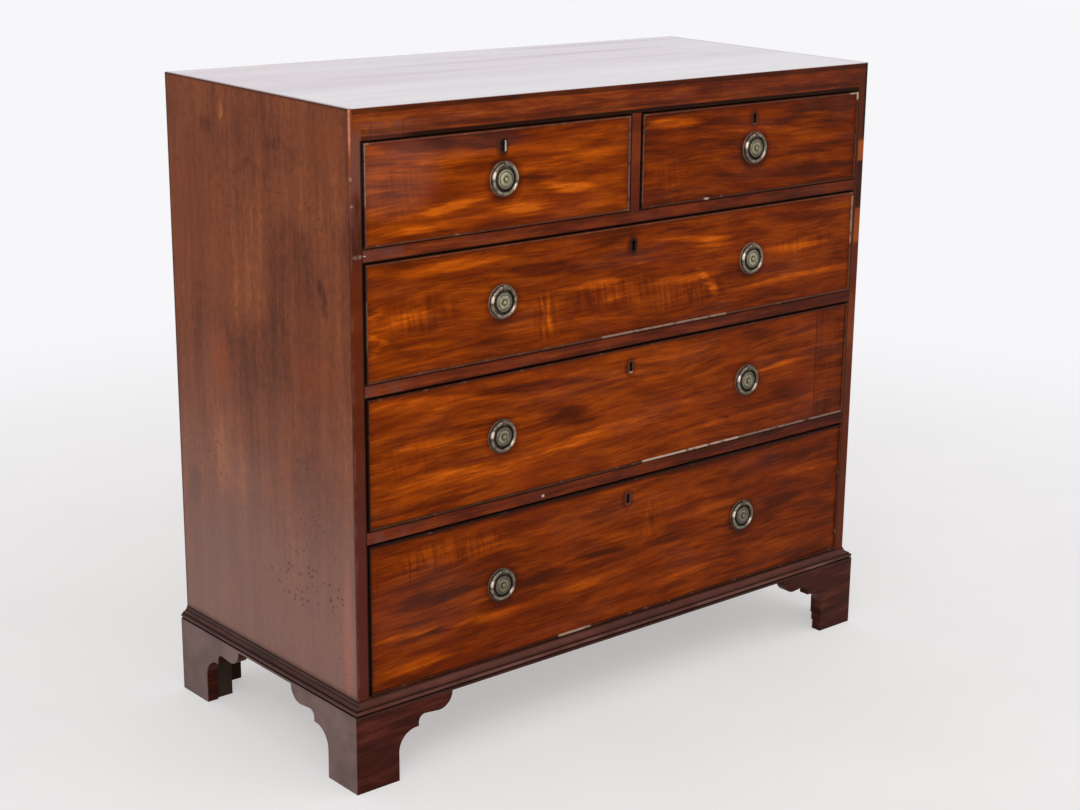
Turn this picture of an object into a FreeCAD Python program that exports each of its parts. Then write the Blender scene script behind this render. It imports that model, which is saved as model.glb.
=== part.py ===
import FreeCAD, Part
import os
import re
import Sketcher
from FreeCAD import Placement, Rotation, Vector

# A two-over-three chest of drawers, in millimetres.  +Z is up, +X is to the right of someone who
# faces the fronts, and the fronts face -Y.  The origin is under the middle of the whole chest.

sizes = {
    # the case
    "case_width": 1040,
    "case_depth": 484,
    "side_thickness": 20,
    "top_thickness": 20,
    "top_lap": 6,  # of the side left outside the top board
    "housing_depth": 6,
    "housing_stop": 8,  # of plain side in front of a housing
    "back_thickness": 10,
    "back_rebate": 10,
    "back_lip": 8,  # of the top board above the back boards
    "back_board_count": 5,
    "back_board_gap": 0.8,
    # rails, divider and what lies behind them
    "top_rail_height": 25,
    "rail_thickness": 19,
    "rail_depth": 75,
    "divider_width": 20,
    "case_arris": 1.5,  # rounding of the case's outer edges
    "rail_arris": 0.8,
    "dust_board_thickness": 9,
    "runner_width": 30,
    "kicker_width": 40,
    "guide_height": 22,
    "stop_height": 5,
    "stop_width": 40,
    "stop_length": 18,
    "stop_inset": 130,
    # heights of the openings, and dovetails down each drawer's corner
    "row_1_height": 149,
    "row_2_height": 174,
    "row_3_height": 198,
    "row_4_height": 235,
    "row_1_tails": 3,
    "row_2_tails": 4,
    "row_3_tails": 4,
    "row_4_tails": 5,
    # the base
    "base_projection": 12,
    "moulding_fascia": 4.2,  # flush with the feet
    "moulding_quirk": 0.8,
    "moulding_bead": 7,
    "moulding_nose": 2.6,  # how far the bead stands out beyond its own root
    "moulding_fillet": 0.8,
    "moulding_lip": 1.2,
    "moulding_land": 0.9,  # of flat on top of the moulding
    "moulding_crest": 0.8,
    "moulding_reveal": 1.5,  # of bottom board above the moulding
    "bracket_height": 118,
    "bracket_thickness": 19,
    "foot_width": 75,
    "hollow_radius": 32,
    "cusp_width": 4,
    "cusp_height": 6,
    "small_hollow_radius": 11.5,
    "neck_width": 26,
    "neck_drop": 2.5,
    "lobe_radius": 25,
    "rear_board_width": 92,
    "rear_board_thickness": 25,
    "block_width": 28,
    "block_lift": 1,
    "block_setback": 3,
    "glue_block_width": 16,
    "glue_block_length": 80,
    # the drawers
    "drawer_rear_gap": 14,
    "side_gap": 2,
    "top_gap": 2,
    "run_gap": 0.3,
    "front_lift": 0.9,
    "stop_gap": 0.3,
    "front_thickness": 20,
    "front_lap": 7,  # of the front left outside its dovetails
    "drawer_side_thickness": 9.5,
    "drawer_side_drop": 2,
    "drawer_back_thickness": 9,
    "drawer_back_drop": 8,
    "drawer_bottom_thickness": 7,
    "bottom_rise": 8,
    "groove_depth": 4.5,
    "front_groove_depth": 6,
    "groove_slack": 0.3,
    "muntin_width": 60,
    "muntin_rebate": 10,
    "muntin_drop": 3,  # below the panels that rest on it
    "pin_width": 10,
    "dovetail_flare": 2,
    "rear_pin_width": 10,
    "rear_flare": 1.5,
    "bead_width": 3.6,
    "bead_stand": 2.5,
    "bead_depth": 5,
    "bead_round": 1.6,
    "mitre_gap": 0.05,
    # locks
    "short_key_drop": 28,  # from the top of the opening to the middle of the keyhole
    "long_key_drop": 35,
    "lock_width": 58,
    "lock_height": 52,
    "lock_thickness": 10,
    "selvage_margin": 1,  # of front between the bead and the lock's top plate
    "selvage_thickness": 2,
    "bolt_width": 26,
    "bolt_thickness": 5,
    "bolt_height": 14,
    "bolt_gap": 0.3,
    "bolt_travel": 8,
    "talon_width": 8,
    "talon_height": 4,
    "mortise_slack": 1.5,
    "key_head": 10,
    "key_leg": 8.4,
    "key_height": 20,
    "liner_wall": 2.3,
    "liner_depth": 4,
    "key_chamber": 6,
    "key_pin": 2.4,
    "key_pin_length": 9,
    "key_margin": 5,  # of plain front between a keyhole and a pull below it
    # ring pulls
    "pull_outset": 2,  # of the long drawers' pulls beyond the short drawers' pulls
    "pull_reach": 8,
    "plate_radius": 26,
    "plate_thickness": 1.2,
    "rim_width": 1.6,
    "rim_height": 0.8,
    "finger_gap": 4,  # between the ring and the boss
    "boss_taper": 0.5,
    "boss_height": 6.5,
    "boss_round": 1.2,
    "face_groove_inset": 2,
    "face_groove_width": 1.2,
    "dish_width": 2.4,
    "dish_depth": 0.5,
    "recess_gap": 0.6,  # round the button
    "recess_depth": 2,
    "button_radius": 3.2,
    "button_round": 1.3,
    "post_radius": 2,
    "post_clearance": 0.2,
    "post_end": 1.5,
    "nut_width": 10,
    "nut_thickness": 3.5,
    "ring_margin": 0.4,  # between the ring and the plate's rim
    "wire_radius": 2.6,
    "ring_gap": 0.4,
    "eye_gap": 0.35,
    "eye_wall": 1.2,
    "eye_width": 5,
}

# What follows from the sizes.
places = {
    "case_half": "case_width / 2",
    "inner_half": "case_width / 2 - side_thickness",
    "front_reach": "max(pull_reach; base_projection)",
    "front_plane": "(front_reach - case_depth) / 2",
    "back_plane": "front_plane + case_depth",
    "back_face": "back_plane - back_thickness",
    "moulding_root": "base_projection - moulding_nose",
    "moulding_shoulder": "moulding_root - moulding_fillet",
    "moulding_cove": "moulding_shoulder + moulding_lip - moulding_land",
    "bead_foot": "moulding_fascia + moulding_quirk",
    "bead_head": "bead_foot + moulding_bead",
    "moulding_rise": "bead_head + moulding_fillet",
    "moulding_height": "moulding_rise + moulding_cove + moulding_crest",
    "nose_radius": "(moulding_bead * moulding_bead / 4 + moulding_nose * moulding_nose) / 2 / moulding_nose",
    "bottom_thickness": "moulding_height + moulding_reveal",
    "row_4_floor": "bracket_height + bottom_thickness",
    "row_3_floor": "row_4_floor + row_4_height + rail_thickness",
    "row_2_floor": "row_3_floor + row_3_height + rail_thickness",
    "row_1_floor": "row_2_floor + row_2_height + rail_thickness",
    "row_1_ceiling": "row_1_floor + row_1_height",
    "top_underside": "row_1_ceiling + top_rail_height",
    "case_height": "top_underside + top_thickness",
    "short_middle": "(inner_half + divider_width / 2) / 2",
    "short_width": "inner_half - divider_width / 2 - 2 * side_gap",
    "long_width": "2 * inner_half - 2 * side_gap",
    "drawer_length": "case_depth - back_thickness - drawer_rear_gap",
    "groove_height": "drawer_bottom_thickness + groove_slack",
    "back_rise": "bottom_rise + groove_height",
    "bolt_line": "front_thickness - lock_thickness / 2",
    "selvage_depth": "front_thickness - bead_depth - selvage_margin",
    "ring_offset": "plate_thickness + ring_gap + wire_radius",
    "ring_radius": "plate_radius - rim_width - ring_margin - wire_radius",
    "boss_radius": "ring_radius - wire_radius - finger_gap",
    "face_groove_radius": "boss_radius - boss_taper - boss_round - face_groove_inset",
    "recess_radius": "button_radius + recess_gap",
    "dish_radius": "recess_radius + dish_width",
    "foot_straight": "bracket_height - hollow_radius - cusp_height - small_hollow_radius"
    " + neck_drop - lobe_radius",
    "back_board_height": "(case_height - back_lip - bracket_height + back_board_gap) / back_board_count"
    " - back_board_gap",
}
for row in (1, 2, 3, 4):
    places[f"row_{row}_box"] = f"row_{row}_height - run_gap - top_gap - drawer_side_drop"
    places[f"row_{row}_top"] = f"row_{row}_height - run_gap - top_gap"
    places[f"row_{row}_pitch"] = f"row_{row}_box / row_{row}_tails"
    places[f"row_{row}_back_pitch"] = (
        f"(row_{row}_box - drawer_back_drop - back_rise) / row_{row}_tails"
    )

owner = {word: "Sizes." for word in sizes}
owner.update({word: "Places." for word in places})

doc = FreeCAD.newDocument("ChestOfDrawers")
nodes = []


def spelled(words):
    """Put its owner before each size and place that an expression names."""
    return re.sub(r"[a-z]\w*", lambda found: owner.get(found.group(), "") + found.group(), words)


def fill_sheet():
    sheet = doc.addObject("Spreadsheet::Sheet", "Sizes")
    for line, (word, size) in enumerate(sizes.items(), 1):
        sheet.set(f"A{line}", word)
        sheet.set(f"B{line}", str(size))
        sheet.setAlias(f"B{line}", word)
    doc.recompute()
    holder = doc.addObject("App::VarSet", "Places")
    for word in places:
        holder.addProperty("App::PropertyFloat", word, "Places")
    for word, words in places.items():
        holder.setExpression(word, spelled(words))
    doc.recompute()
    return holder


holder = fill_sheet()


def value(words):
    """The present value of an expression, as a first guess for a sketch."""
    return float(holder.evalExpression(spelled(words)))


def bind(thing, **expressions):
    for name, words in expressions.items():
        thing.setExpression(name.replace("__", "."), spelled(words))


def put(thing, x="0", y="0", z="0"):
    """Place a sub-part by expressions."""
    bind(thing, Placement__Base__x=x, Placement__Base__y=y, Placement__Base__z=z)


def node(thing):
    nodes.append(thing)
    return thing


# Part objects


def box(name, x, y, z):
    """A board between a low and a high expression along each axis."""
    board = doc.addObject("Part::Box", name)
    bind(board, Length=f"{x[1]} - ({x[0]})", Width=f"{y[1]} - ({y[0]})", Height=f"{z[1]} - ({z[0]})")
    put(board, x[0], y[0], z[0])
    return board


def cut(name, blank, cutters):
    tool = cutters[0]
    if len(cutters) > 1:
        tool = doc.addObject("Part::MultiFuse", f"{name}_cutters")
        tool.Shapes = cutters
    result = doc.addObject("Part::Cut", name)
    result.Base = blank
    result.Tool = tool
    return result


def mirrored(name, source):
    """The other hand of a piece, across the plane between left and right."""
    twin = doc.addObject("Part::Mirroring", name)
    twin.Source = source
    twin.Normal = Vector(1, 0, 0)
    return twin


def group(name, pieces):
    """Separate solids that share one file."""
    several = doc.addObject("Part::Compound", name)
    several.Links = pieces
    return node(several)


# PartDesign objects


def new_body(name, x="0", y="0", z="0"):
    body = doc.addObject("PartDesign::Body", name)
    put(body, x, y, z)
    return body


def drawing(body, plane, offset="0"):
    """A sketch on one of the body's own origin planes, moved along that plane's normal."""
    sketch = body.newObject("Sketcher::SketchObject", f"{body.Label}_sketch")
    support = next(feature for feature in body.Origin.OriginFeatures if feature.Role == plane)
    sketch.AttachmentSupport = [(support, "")]
    sketch.MapMode = "FlatFace"
    bind(sketch, AttachmentOffset__Base__z=offset)
    return sketch


def pin_point(sketch, geometry, end, x, y):
    """Hold a point of the sketch at two expressions."""
    for kind, words in (("DistanceX", x), ("DistanceY", y)):
        if words is not None:
            place = sketch.addConstraint(
                Sketcher.Constraint(kind, -1, 1, geometry, end, value(words))
            )
            sketch.setExpression(f"Constraints[{place}]", spelled(words))


def outline(sketch, corners, arcs=()):
    """A closed loop through the corners.  arcs maps the corner where an arc starts to the arc's
    centre and its way: 1 for anticlockwise, -1 for clockwise."""
    arcs = dict(arcs)
    points = [Vector(value(x), value(y), 0) for x, y in corners]
    ends = []
    for place, start in enumerate(points):
        finish = points[(place + 1) % len(points)]
        if place in arcs:
            centre_words, way = arcs[place]
            centre = Vector(value(centre_words[0]), value(centre_words[1]), 0)
            first, last = (start, finish) if way > 0 else (finish, start)
            circle = Part.Circle(centre, Vector(0, 0, 1), (start - centre).Length)
            curve = Part.ArcOfCircle(circle, circle.parameter(first), circle.parameter(last))
            edge = sketch.addGeometry(curve, False)
            chord = finish - start
            level = abs(chord.x) > abs(chord.y)
            pin_point(
                sketch, edge, 3, None if level else centre_words[0], centre_words[1] if level else None
            )
            ends.append((edge, 1, 2) if way > 0 else (edge, 2, 1))
        else:
            ends.append((sketch.addGeometry(Part.LineSegment(start, finish), False), 1, 2))
    for place, (edge, begin, _) in enumerate(ends):
        before, _, stop = ends[place - 1]
        sketch.addConstraint(Sketcher.Constraint("Coincident", before, stop, edge, begin))
        pin_point(sketch, edge, begin, *corners[place])


def rectangle(sketch, x, y):
    outline(sketch, [(x[0], y[0]), (x[1], y[0]), (x[1], y[1]), (x[0], y[1])])


def disc(sketch, x, y, radius):
    circle = Part.Circle(Vector(value(x), value(y), 0), Vector(0, 0, 1), value(radius))
    edge = sketch.addGeometry(circle, False)
    pin_point(sketch, edge, 3, x, y)
    place = sketch.addConstraint(Sketcher.Constraint("Radius", edge, value(radius)))
    sketch.setExpression(f"Constraints[{place}]", spelled(radius))


def swept(body, kind, sketch, length, back=False, both=False):
    """Pad or pocket a sketch: away from its normal with back, to both sides with both."""
    feature = body.newObject(f"PartDesign::{kind}", f"{body.Label}_{kind.lower()}")
    feature.Profile = sketch
    feature.Reversed = back
    feature.Midplane = both
    bind(feature, Length=length)
    sketch.Visibility = False
    return feature


def pad(body, sketch, length, **ways):
    return swept(body, "Pad", sketch, length, **ways)


def pocket(body, sketch, length, **ways):
    return swept(body, "Pocket", sketch, length, **ways)


def turned(body, sketch):
    """Turn a sketch once round its own vertical axis."""
    feature = body.newObject("PartDesign::Revolution", f"{body.Label}_revolution")
    feature.Profile = sketch
    feature.ReferenceAxis = (sketch, ["V_Axis"])
    feature.Angle = 360
    return feature


def softened(body, feature, radius, *arrises):
    """Round a body's edges.  An arris names the faces that its corners lie in, such as front and
    top; a single face takes every edge in it."""
    doc.recompute()
    bounds = feature.Shape.BoundBox
    faces = {
        "left": ("x", bounds.XMin),
        "right": ("x", bounds.XMax),
        "front": ("y", bounds.YMin),
        "foot": ("z", bounds.ZMin),
        "top": ("z", bounds.ZMax),
    }
    wanted = []
    for place, edge in enumerate(feature.Shape.Edges, 1):
        corners = [corner.Point for corner in edge.Vertexes]
        for arris in arrises:
            levels = [faces[face] for face in arris]
            if all(abs(getattr(p, axis) - level) < 1e-4 for p in corners for axis, level in levels):
                wanted.append(f"Edge{place}")
    rounding = body.newObject("PartDesign::Fillet", f"{body.Label}_arris")
    rounding.Base = (feature, wanted)
    bind(rounding, Radius=radius)


def eased_board(name, x, y, z, *arrises):
    """A board like box gives, with its outer edges rounded."""
    body = new_body(name, z=z[0])
    plan = drawing(body, "XY_Plane")
    rectangle(plan, x, y)
    softened(body, pad(body, plan, f"{z[1]} - ({z[0]})"), "case_arris", *arrises)
    return body


def repeated(body, feature, sketch, count, pitch):
    """Repeat a feature upwards."""
    pattern = body.newObject("PartDesign::LinearPattern", f"{body.Label}_pattern")
    pattern.Originals = [feature]
    pattern.Direction = (sketch, ["V_Axis"])
    bind(pattern, Length=f"({count} - 1) * {pitch}", Occurrences=count)
    body.Tip = pattern
    return pattern


# The case


def case_sides():
    inner = "-inner_half - housing_depth"
    board = eased_board(
        "left_side_board",
        ("-case_half", "-inner_half"),
        ("front_plane", "back_plane"),
        ("bracket_height", "case_height"),
        ("left", "front"),
        ("left", "top"),
        ("front", "top"),
    )
    cutters = [
        box(
            "left_side_top_rebate",
            ("-case_half + top_lap", "-inner_half"),
            ("front_plane", "back_plane"),
            ("top_underside", "case_height"),
        ),
        box(
            "left_side_back_rebate",
            ("-inner_half - back_rebate", "-inner_half"),
            ("back_face", "back_plane"),
            ("bracket_height", "case_height"),
        ),
        box(
            "left_side_bottom_housing",
            (inner, "-inner_half"),
            ("front_plane + housing_stop", "back_face"),
            ("bracket_height", "row_4_floor"),
        ),
        box(
            "left_side_top_rail_housing",
            (inner, "-inner_half"),
            ("front_plane + housing_stop", "front_plane + rail_depth"),
            ("row_1_ceiling", "top_underside"),
        ),
    ]
    for row in (1, 2, 3):
        cutters.append(
            box(
                f"left_side_housing_{row}",
                (inner, "-inner_half"),
                ("front_plane + housing_stop", "back_face"),
                (f"row_{row}_floor - rail_thickness", f"row_{row}_floor"),
            )
        )
    left = node(cut("left_side", board, cutters))
    node(mirrored("right_side", left))


def top_board():
    board = eased_board(
        "top_board_blank",
        ("-case_half + top_lap", "case_half - top_lap"),
        ("front_plane", "back_plane"),
        ("top_underside", "case_height"),
        ("front", "top"),
    )
    rebate = box(
        "top_board_back_rebate",
        ("-case_half", "case_half"),
        ("back_face", "back_plane"),
        ("top_underside", "case_height - back_lip"),
    )
    node(cut("top_board", board, [rebate]))


def tongued_board(name, floor, height, depth, *arrises):
    """A board between the sides, with a tongue at each end that fills its stopped housing."""
    body = new_body(name, "0", "front_plane", floor)
    plan = drawing(body, "XY_Plane")
    wide = "inner_half + housing_depth"
    outline(
        plan,
        [
            ("-inner_half", "0"),
            ("inner_half", "0"),
            ("inner_half", "housing_stop"),
            (wide, "housing_stop"),
            (wide, depth),
            (f"-({wide})", depth),
            (f"-({wide})", "housing_stop"),
            ("-inner_half", "housing_stop"),
        ],
    )
    softened(body, pad(body, plan, height), "rail_arris", *arrises)
    return body


def bolt_mortise(body, x):
    """The slot in a rail's underside that a lock bolt rises into."""
    half_width = "bolt_width / 2 + mortise_slack"
    half_depth = "bolt_thickness / 2 + mortise_slack"
    plan = drawing(body, "XY_Plane")
    rectangle(
        plan,
        (f"{x} - ({half_width})", f"{x} + {half_width}"),
        (f"bolt_line - ({half_depth})", f"bolt_line + {half_depth}"),
    )
    pocket(body, plan, "bolt_travel + mortise_slack", back=True)


def rails():
    head, foot = ("front", "top"), ("front", "foot")
    depth = "rail_depth"
    top_rail = node(tongued_board("top_rail", "row_1_ceiling", "top_rail_height", depth, foot))
    bolt_mortise(top_rail, "-short_middle")
    bolt_mortise(top_rail, "short_middle")
    below = []
    for row in (1, 2, 3):
        floor = f"row_{row}_floor - rail_thickness"
        rail = tongued_board(f"drawer_rail_{row}", floor, "rail_thickness", depth, head, foot)
        bolt_mortise(rail, "0")
        below.append(rail)
    group("drawer_rails", below)
    depth = "case_depth - back_thickness"
    node(tongued_board("bottom_board", "bracket_height", "bottom_thickness", depth, head))


def divider():
    """The upright between the two short drawers."""
    body = node(new_body("drawer_divider", "0", "front_plane", "row_1_floor"))
    front = drawing(body, "XZ_Plane")
    rectangle(front, ("-divider_width / 2", "divider_width / 2"), ("0", "row_1_height"))
    upright = pad(body, front, "rail_depth", back=True)
    softened(body, upright, "rail_arris", ("left", "front"), ("right", "front"))


def inner_boards():
    """Dust boards behind the rails, the strips that wedge and carry them, kickers and guide."""
    behind_rail = ("front_plane + rail_depth", "back_face")
    dust_boards = []
    strips = []
    wide = "inner_half + housing_depth"
    for row in (1, 2, 3):
        floor = f"row_{row}_floor"
        under = f"{floor} - dust_board_thickness"
        dust_boards.append(
            box(f"dust_board_{row}", (f"-({wide})", wide), behind_rail, (under, floor))
        )
        right = box(
            f"runner_strip_{row}_right",
            ("inner_half - runner_width", wide),
            behind_rail,
            (f"{floor} - rail_thickness", under),
        )
        strips += [right, mirrored(f"runner_strip_{row}_left", right)]
    right = box(
        "kicker_right",
        ("inner_half - kicker_width", "inner_half"),
        behind_rail,
        ("row_1_ceiling", "top_underside"),
    )
    middle = box(
        "kicker_middle",
        ("-kicker_width / 2", "kicker_width / 2"),
        behind_rail,
        ("row_1_ceiling", "top_underside"),
    )
    guide = box(
        "short_drawer_guide",
        ("-divider_width / 2", "divider_width / 2"),
        behind_rail,
        ("row_1_floor", "row_1_floor + guide_height"),
    )
    group("dust_boards", dust_boards)
    group("runners_and_kickers", strips + [right, mirrored("kicker_left", right), middle, guide])


def drawer_stops():
    """Two small blocks behind each front, on the floor of its opening."""
    stops = []
    for row in (1, 2, 3, 4):
        width = "short_width" if row == 1 else "long_width"
        centres = ("-short_middle", "short_middle") if row == 1 else ("0",)
        reach = f"({width} / 2 - stop_inset)"
        for place, centre in enumerate(centres):
            for way in ("-", "+"):
                middle = f"{centre} {way} {reach}"
                stops.append(
                    box(
                        f"stop_{row}_{place}_{len(stops)}",
                        (f"{middle} - stop_width / 2", f"{middle} + stop_width / 2"),
                        (
                            "front_plane + front_thickness + stop_gap",
                            "front_plane + front_thickness + stop_gap + stop_length",
                        ),
                        (f"row_{row}_floor", f"row_{row}_floor + stop_height"),
                    )
                )
    group("drawer_stops", stops)


def back_boards():
    boards = []
    for place in range(int(sizes["back_board_count"])):
        low = f"bracket_height + {place} * (back_board_height + back_board_gap)"
        boards.append(
            box(
                f"back_board_{place + 1}",
                ("-inner_half - back_rebate", "inner_half + back_rebate"),
                ("back_face", "back_plane"),
                (low, f"{low} + back_board_height"),
            )
        )
    group("back_boards", boards)


# The base


def moulding_profile(sketch):
    """A cove over a fillet over a round bead over a plain fascia; outwards is negative."""
    top = "moulding_rise + moulding_cove"
    centre_x = "-moulding_shoulder - moulding_lip"
    outline(
        sketch,
        [
            ("0", "0"),
            ("0", "moulding_height"),
            ("-moulding_land", "moulding_height"),
            ("-moulding_land", top),
            ("-moulding_shoulder", "moulding_rise + moulding_lip"),
            ("-moulding_shoulder", "bead_head"),
            ("-moulding_root", "bead_head"),
            ("-moulding_root", "bead_foot"),
            ("-moulding_root", "moulding_fascia"),
            ("-base_projection", "moulding_fascia"),
            ("-base_projection", "0"),
        ],
        {
            3: ((centre_x, f"{top} + moulding_lip"), -1),
            6: (("nose_radius - base_projection", "bead_foot + moulding_bead / 2"), 1),
        },
    )


def base_mouldings():
    front = new_body("front_moulding", "0", "front_plane", "bracket_height")
    profile = drawing(front, "YZ_Plane")
    moulding_profile(profile)
    pad(front, profile, "case_width + 2 * base_projection", both=True)
    plan = drawing(front, "XY_Plane")
    beyond = "2 * base_projection"
    outline(
        plan,
        [("case_half", "0"), (f"case_half + {beyond}", f"-{beyond}"), (f"case_half + {beyond}", "0")],
    )
    outline(
        plan,
        [
            ("-case_half", "0"),
            (f"-case_half - {beyond}", "0"),
            (f"-case_half - {beyond}", f"-{beyond}"),
        ],
    )
    pocket(front, plan, "moulding_height", back=True)
    left = new_body("left_moulding", "-case_half", "front_plane", "bracket_height")
    profile = drawing(left, "XZ_Plane", "base_projection")
    moulding_profile(profile)
    pad(left, profile, "case_depth + base_projection", back=True)
    plan = drawing(left, "XY_Plane")
    outline(plan, [("0", "0"), (f"-{beyond}", f"-{beyond}"), ("0", f"-{beyond}")])
    pocket(left, plan, "moulding_height", back=True)
    group("base_moulding", [front, left, mirrored("right_moulding", left)])


def bracket_outline(sketch, way):
    """A straight leg, a hollow, a cusp, a small hollow, a neck and a round lobe.  way is 1 where
    the bracket runs towards the sketch's positive side and -1 where it runs the other way."""
    sign = "" if way > 0 else "-"
    hollow_x = "foot_width + hollow_radius"
    hollow_y = "foot_straight + hollow_radius"
    cusp_x = f"{hollow_x} + cusp_width"
    cusp_y = f"{hollow_y} + cusp_height"
    neck_x = f"{cusp_x} + small_hollow_radius"
    neck_y = f"{cusp_y} + small_hollow_radius"
    lobe_x = f"{neck_x} + neck_width"
    lobe_y = f"{neck_y} - neck_drop"
    corners = [
        ("0", "0"),
        ("foot_width", "0"),
        ("foot_width", "foot_straight"),
        (hollow_x, hollow_y),
        (cusp_x, hollow_y),
        (cusp_x, cusp_y),
        (neck_x, neck_y),
        (lobe_x, lobe_y),
        (f"{lobe_x} + lobe_radius", "bracket_height"),
        ("0", "bracket_height"),
    ]
    centres = {
        2: ((hollow_x, "foot_straight"), -1),
        5: ((neck_x, cusp_y), -1),
        7: ((lobe_x, "bracket_height"), 1),
    }
    outline(
        sketch,
        [(f"{sign}({x})", y) for x, y in corners],
        {place: ((f"{sign}({x})", y), turn * way) for place, ((x, y), turn) in centres.items()},
    )


def feet():
    thick = "bracket_thickness"
    left = "-case_half - base_projection"
    front = "front_plane - base_projection"
    # the front foot's two brackets, mitred at the corner
    front_bracket = new_body("front_bracket", left, front)
    face = drawing(front_bracket, "XZ_Plane")
    bracket_outline(face, 1)
    pad(front_bracket, face, thick, back=True)
    plan = drawing(front_bracket, "XY_Plane")
    outline(plan, [("0", "0"), (f"2 * {thick}", f"2 * {thick}"), ("0", f"2 * {thick}")])
    pocket(front_bracket, plan, "bracket_height", back=True)
    side_bracket = new_body("side_bracket", left, front)
    face = drawing(side_bracket, "YZ_Plane")
    bracket_outline(face, 1)
    pad(side_bracket, face, thick)
    plan = drawing(side_bracket, "XY_Plane")
    outline(plan, [("0", "0"), (f"2 * {thick}", "0"), (f"2 * {thick}", f"2 * {thick}")])
    pocket(side_bracket, plan, "bracket_height", back=True)
    # the back foot's shaped side bracket, and the plain board behind it
    back_bracket = new_body("back_side_bracket", left, "back_plane")
    face = drawing(back_bracket, "YZ_Plane")
    bracket_outline(face, -1)
    pad(back_bracket, face, thick)
    rear_board = box(
        "rear_foot_board",
        (f"{left} + {thick}", f"{left} + rear_board_width"),
        ("back_plane - rear_board_thickness", "back_plane"),
        ("0", "bracket_height"),
    )
    front_left = group("front_left_foot", [front_bracket, side_bracket])
    back_left = group("back_left_foot", [back_bracket, rear_board])
    node(mirrored("front_right_foot", front_left))
    node(mirrored("back_right_foot", back_left))


def foot_blocks():
    """A square block up each corner, and glue blocks under the case behind the brackets."""
    inner_x = "-case_half - base_projection + bracket_thickness"
    inner_y = "front_plane - base_projection + bracket_thickness"
    rear_y = "back_plane - rear_board_thickness"
    glued = ("bracket_height - glue_block_width", "bracket_height")
    tall = ("block_lift", "bracket_height")
    beside = (inner_x, f"{inner_x} + block_width")
    blocks = [
        box("front_corner_block", beside, (inner_y, f"{inner_y} + block_width"), tall),
        box(
            "back_corner_block",
            beside,
            ("back_plane - foot_width + block_setback", rear_y),
            tall,
        ),
        box(
            "front_glue_block",
            (f"{inner_x} + block_width", f"{inner_x} + block_width + glue_block_length"),
            (inner_y, f"{inner_y} + glue_block_width"),
            glued,
        ),
        box(
            "side_glue_block",
            (inner_x, f"{inner_x} + glue_block_width"),
            (f"{inner_y} + block_width", f"{inner_y} + block_width + glue_block_length"),
            glued,
        ),
        box(
            "back_glue_block",
            (inner_x, f"{inner_x} + glue_block_width"),
            (
                "back_plane - foot_width + block_setback - glue_block_length",
                "back_plane - foot_width + block_setback",
            ),
            glued,
        ),
    ]
    twins = [mirrored(f"{block.Label}_right", block) for block in blocks]
    group("foot_blocks", blocks + twins)


# The drawers.  Each piece is drawn about the middle of its own drawer's front face, at the foot
# of the drawer's sides, and then put in its opening.


def keyhole(sketch, height, inset="0"):
    """A round head over a narrower round-ended leg, drawn in from its outline by inset."""
    head = f"(key_head / 2 - {inset})"
    leg = f"(key_leg / 2 - {inset})"
    head_y = f"{height} + key_height / 2 - key_head / 2"
    leg_y = f"{height} - key_height / 2 + key_leg / 2"
    neck_y = f"{head_y} - sqrt({head} * {head} - {leg} * {leg})"
    outline(
        sketch,
        [(f"-{leg}", leg_y), (leg, leg_y), (leg, neck_y), (f"-{leg}", neck_y)],
        {0: (("0", leg_y), 1), 2: (("0", head_y), 1)},
    )


def tail_outline(sketch, pitch):
    """One tail: narrow where it leaves the side, wide at its end inside the front."""
    root = "pin_width / 2"
    end = "(pin_width / 2 - dovetail_flare)"
    outline(
        sketch,
        [
            ("front_thickness", root),
            ("front_thickness", f"{pitch} - {root}"),
            ("front_lap", f"{pitch} - {end}"),
            ("front_lap", end),
        ],
    )


def rear_pin_outline(sketch, pitch):
    """One pin of the drawer's back: wide inside the drawer, narrow at the rear."""
    middle = f"back_rise + {pitch} / 2"
    narrow = "rear_pin_width / 2"
    wide = f"({narrow} + rear_flare)"
    inner = "drawer_length - drawer_back_thickness"
    outline(
        sketch,
        [
            (inner, f"{middle} - {wide}"),
            ("drawer_length", f"{middle} - {narrow}"),
            ("drawer_length", f"{middle} + {narrow}"),
            (inner, f"{middle} + {wide}"),
        ],
    )


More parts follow.
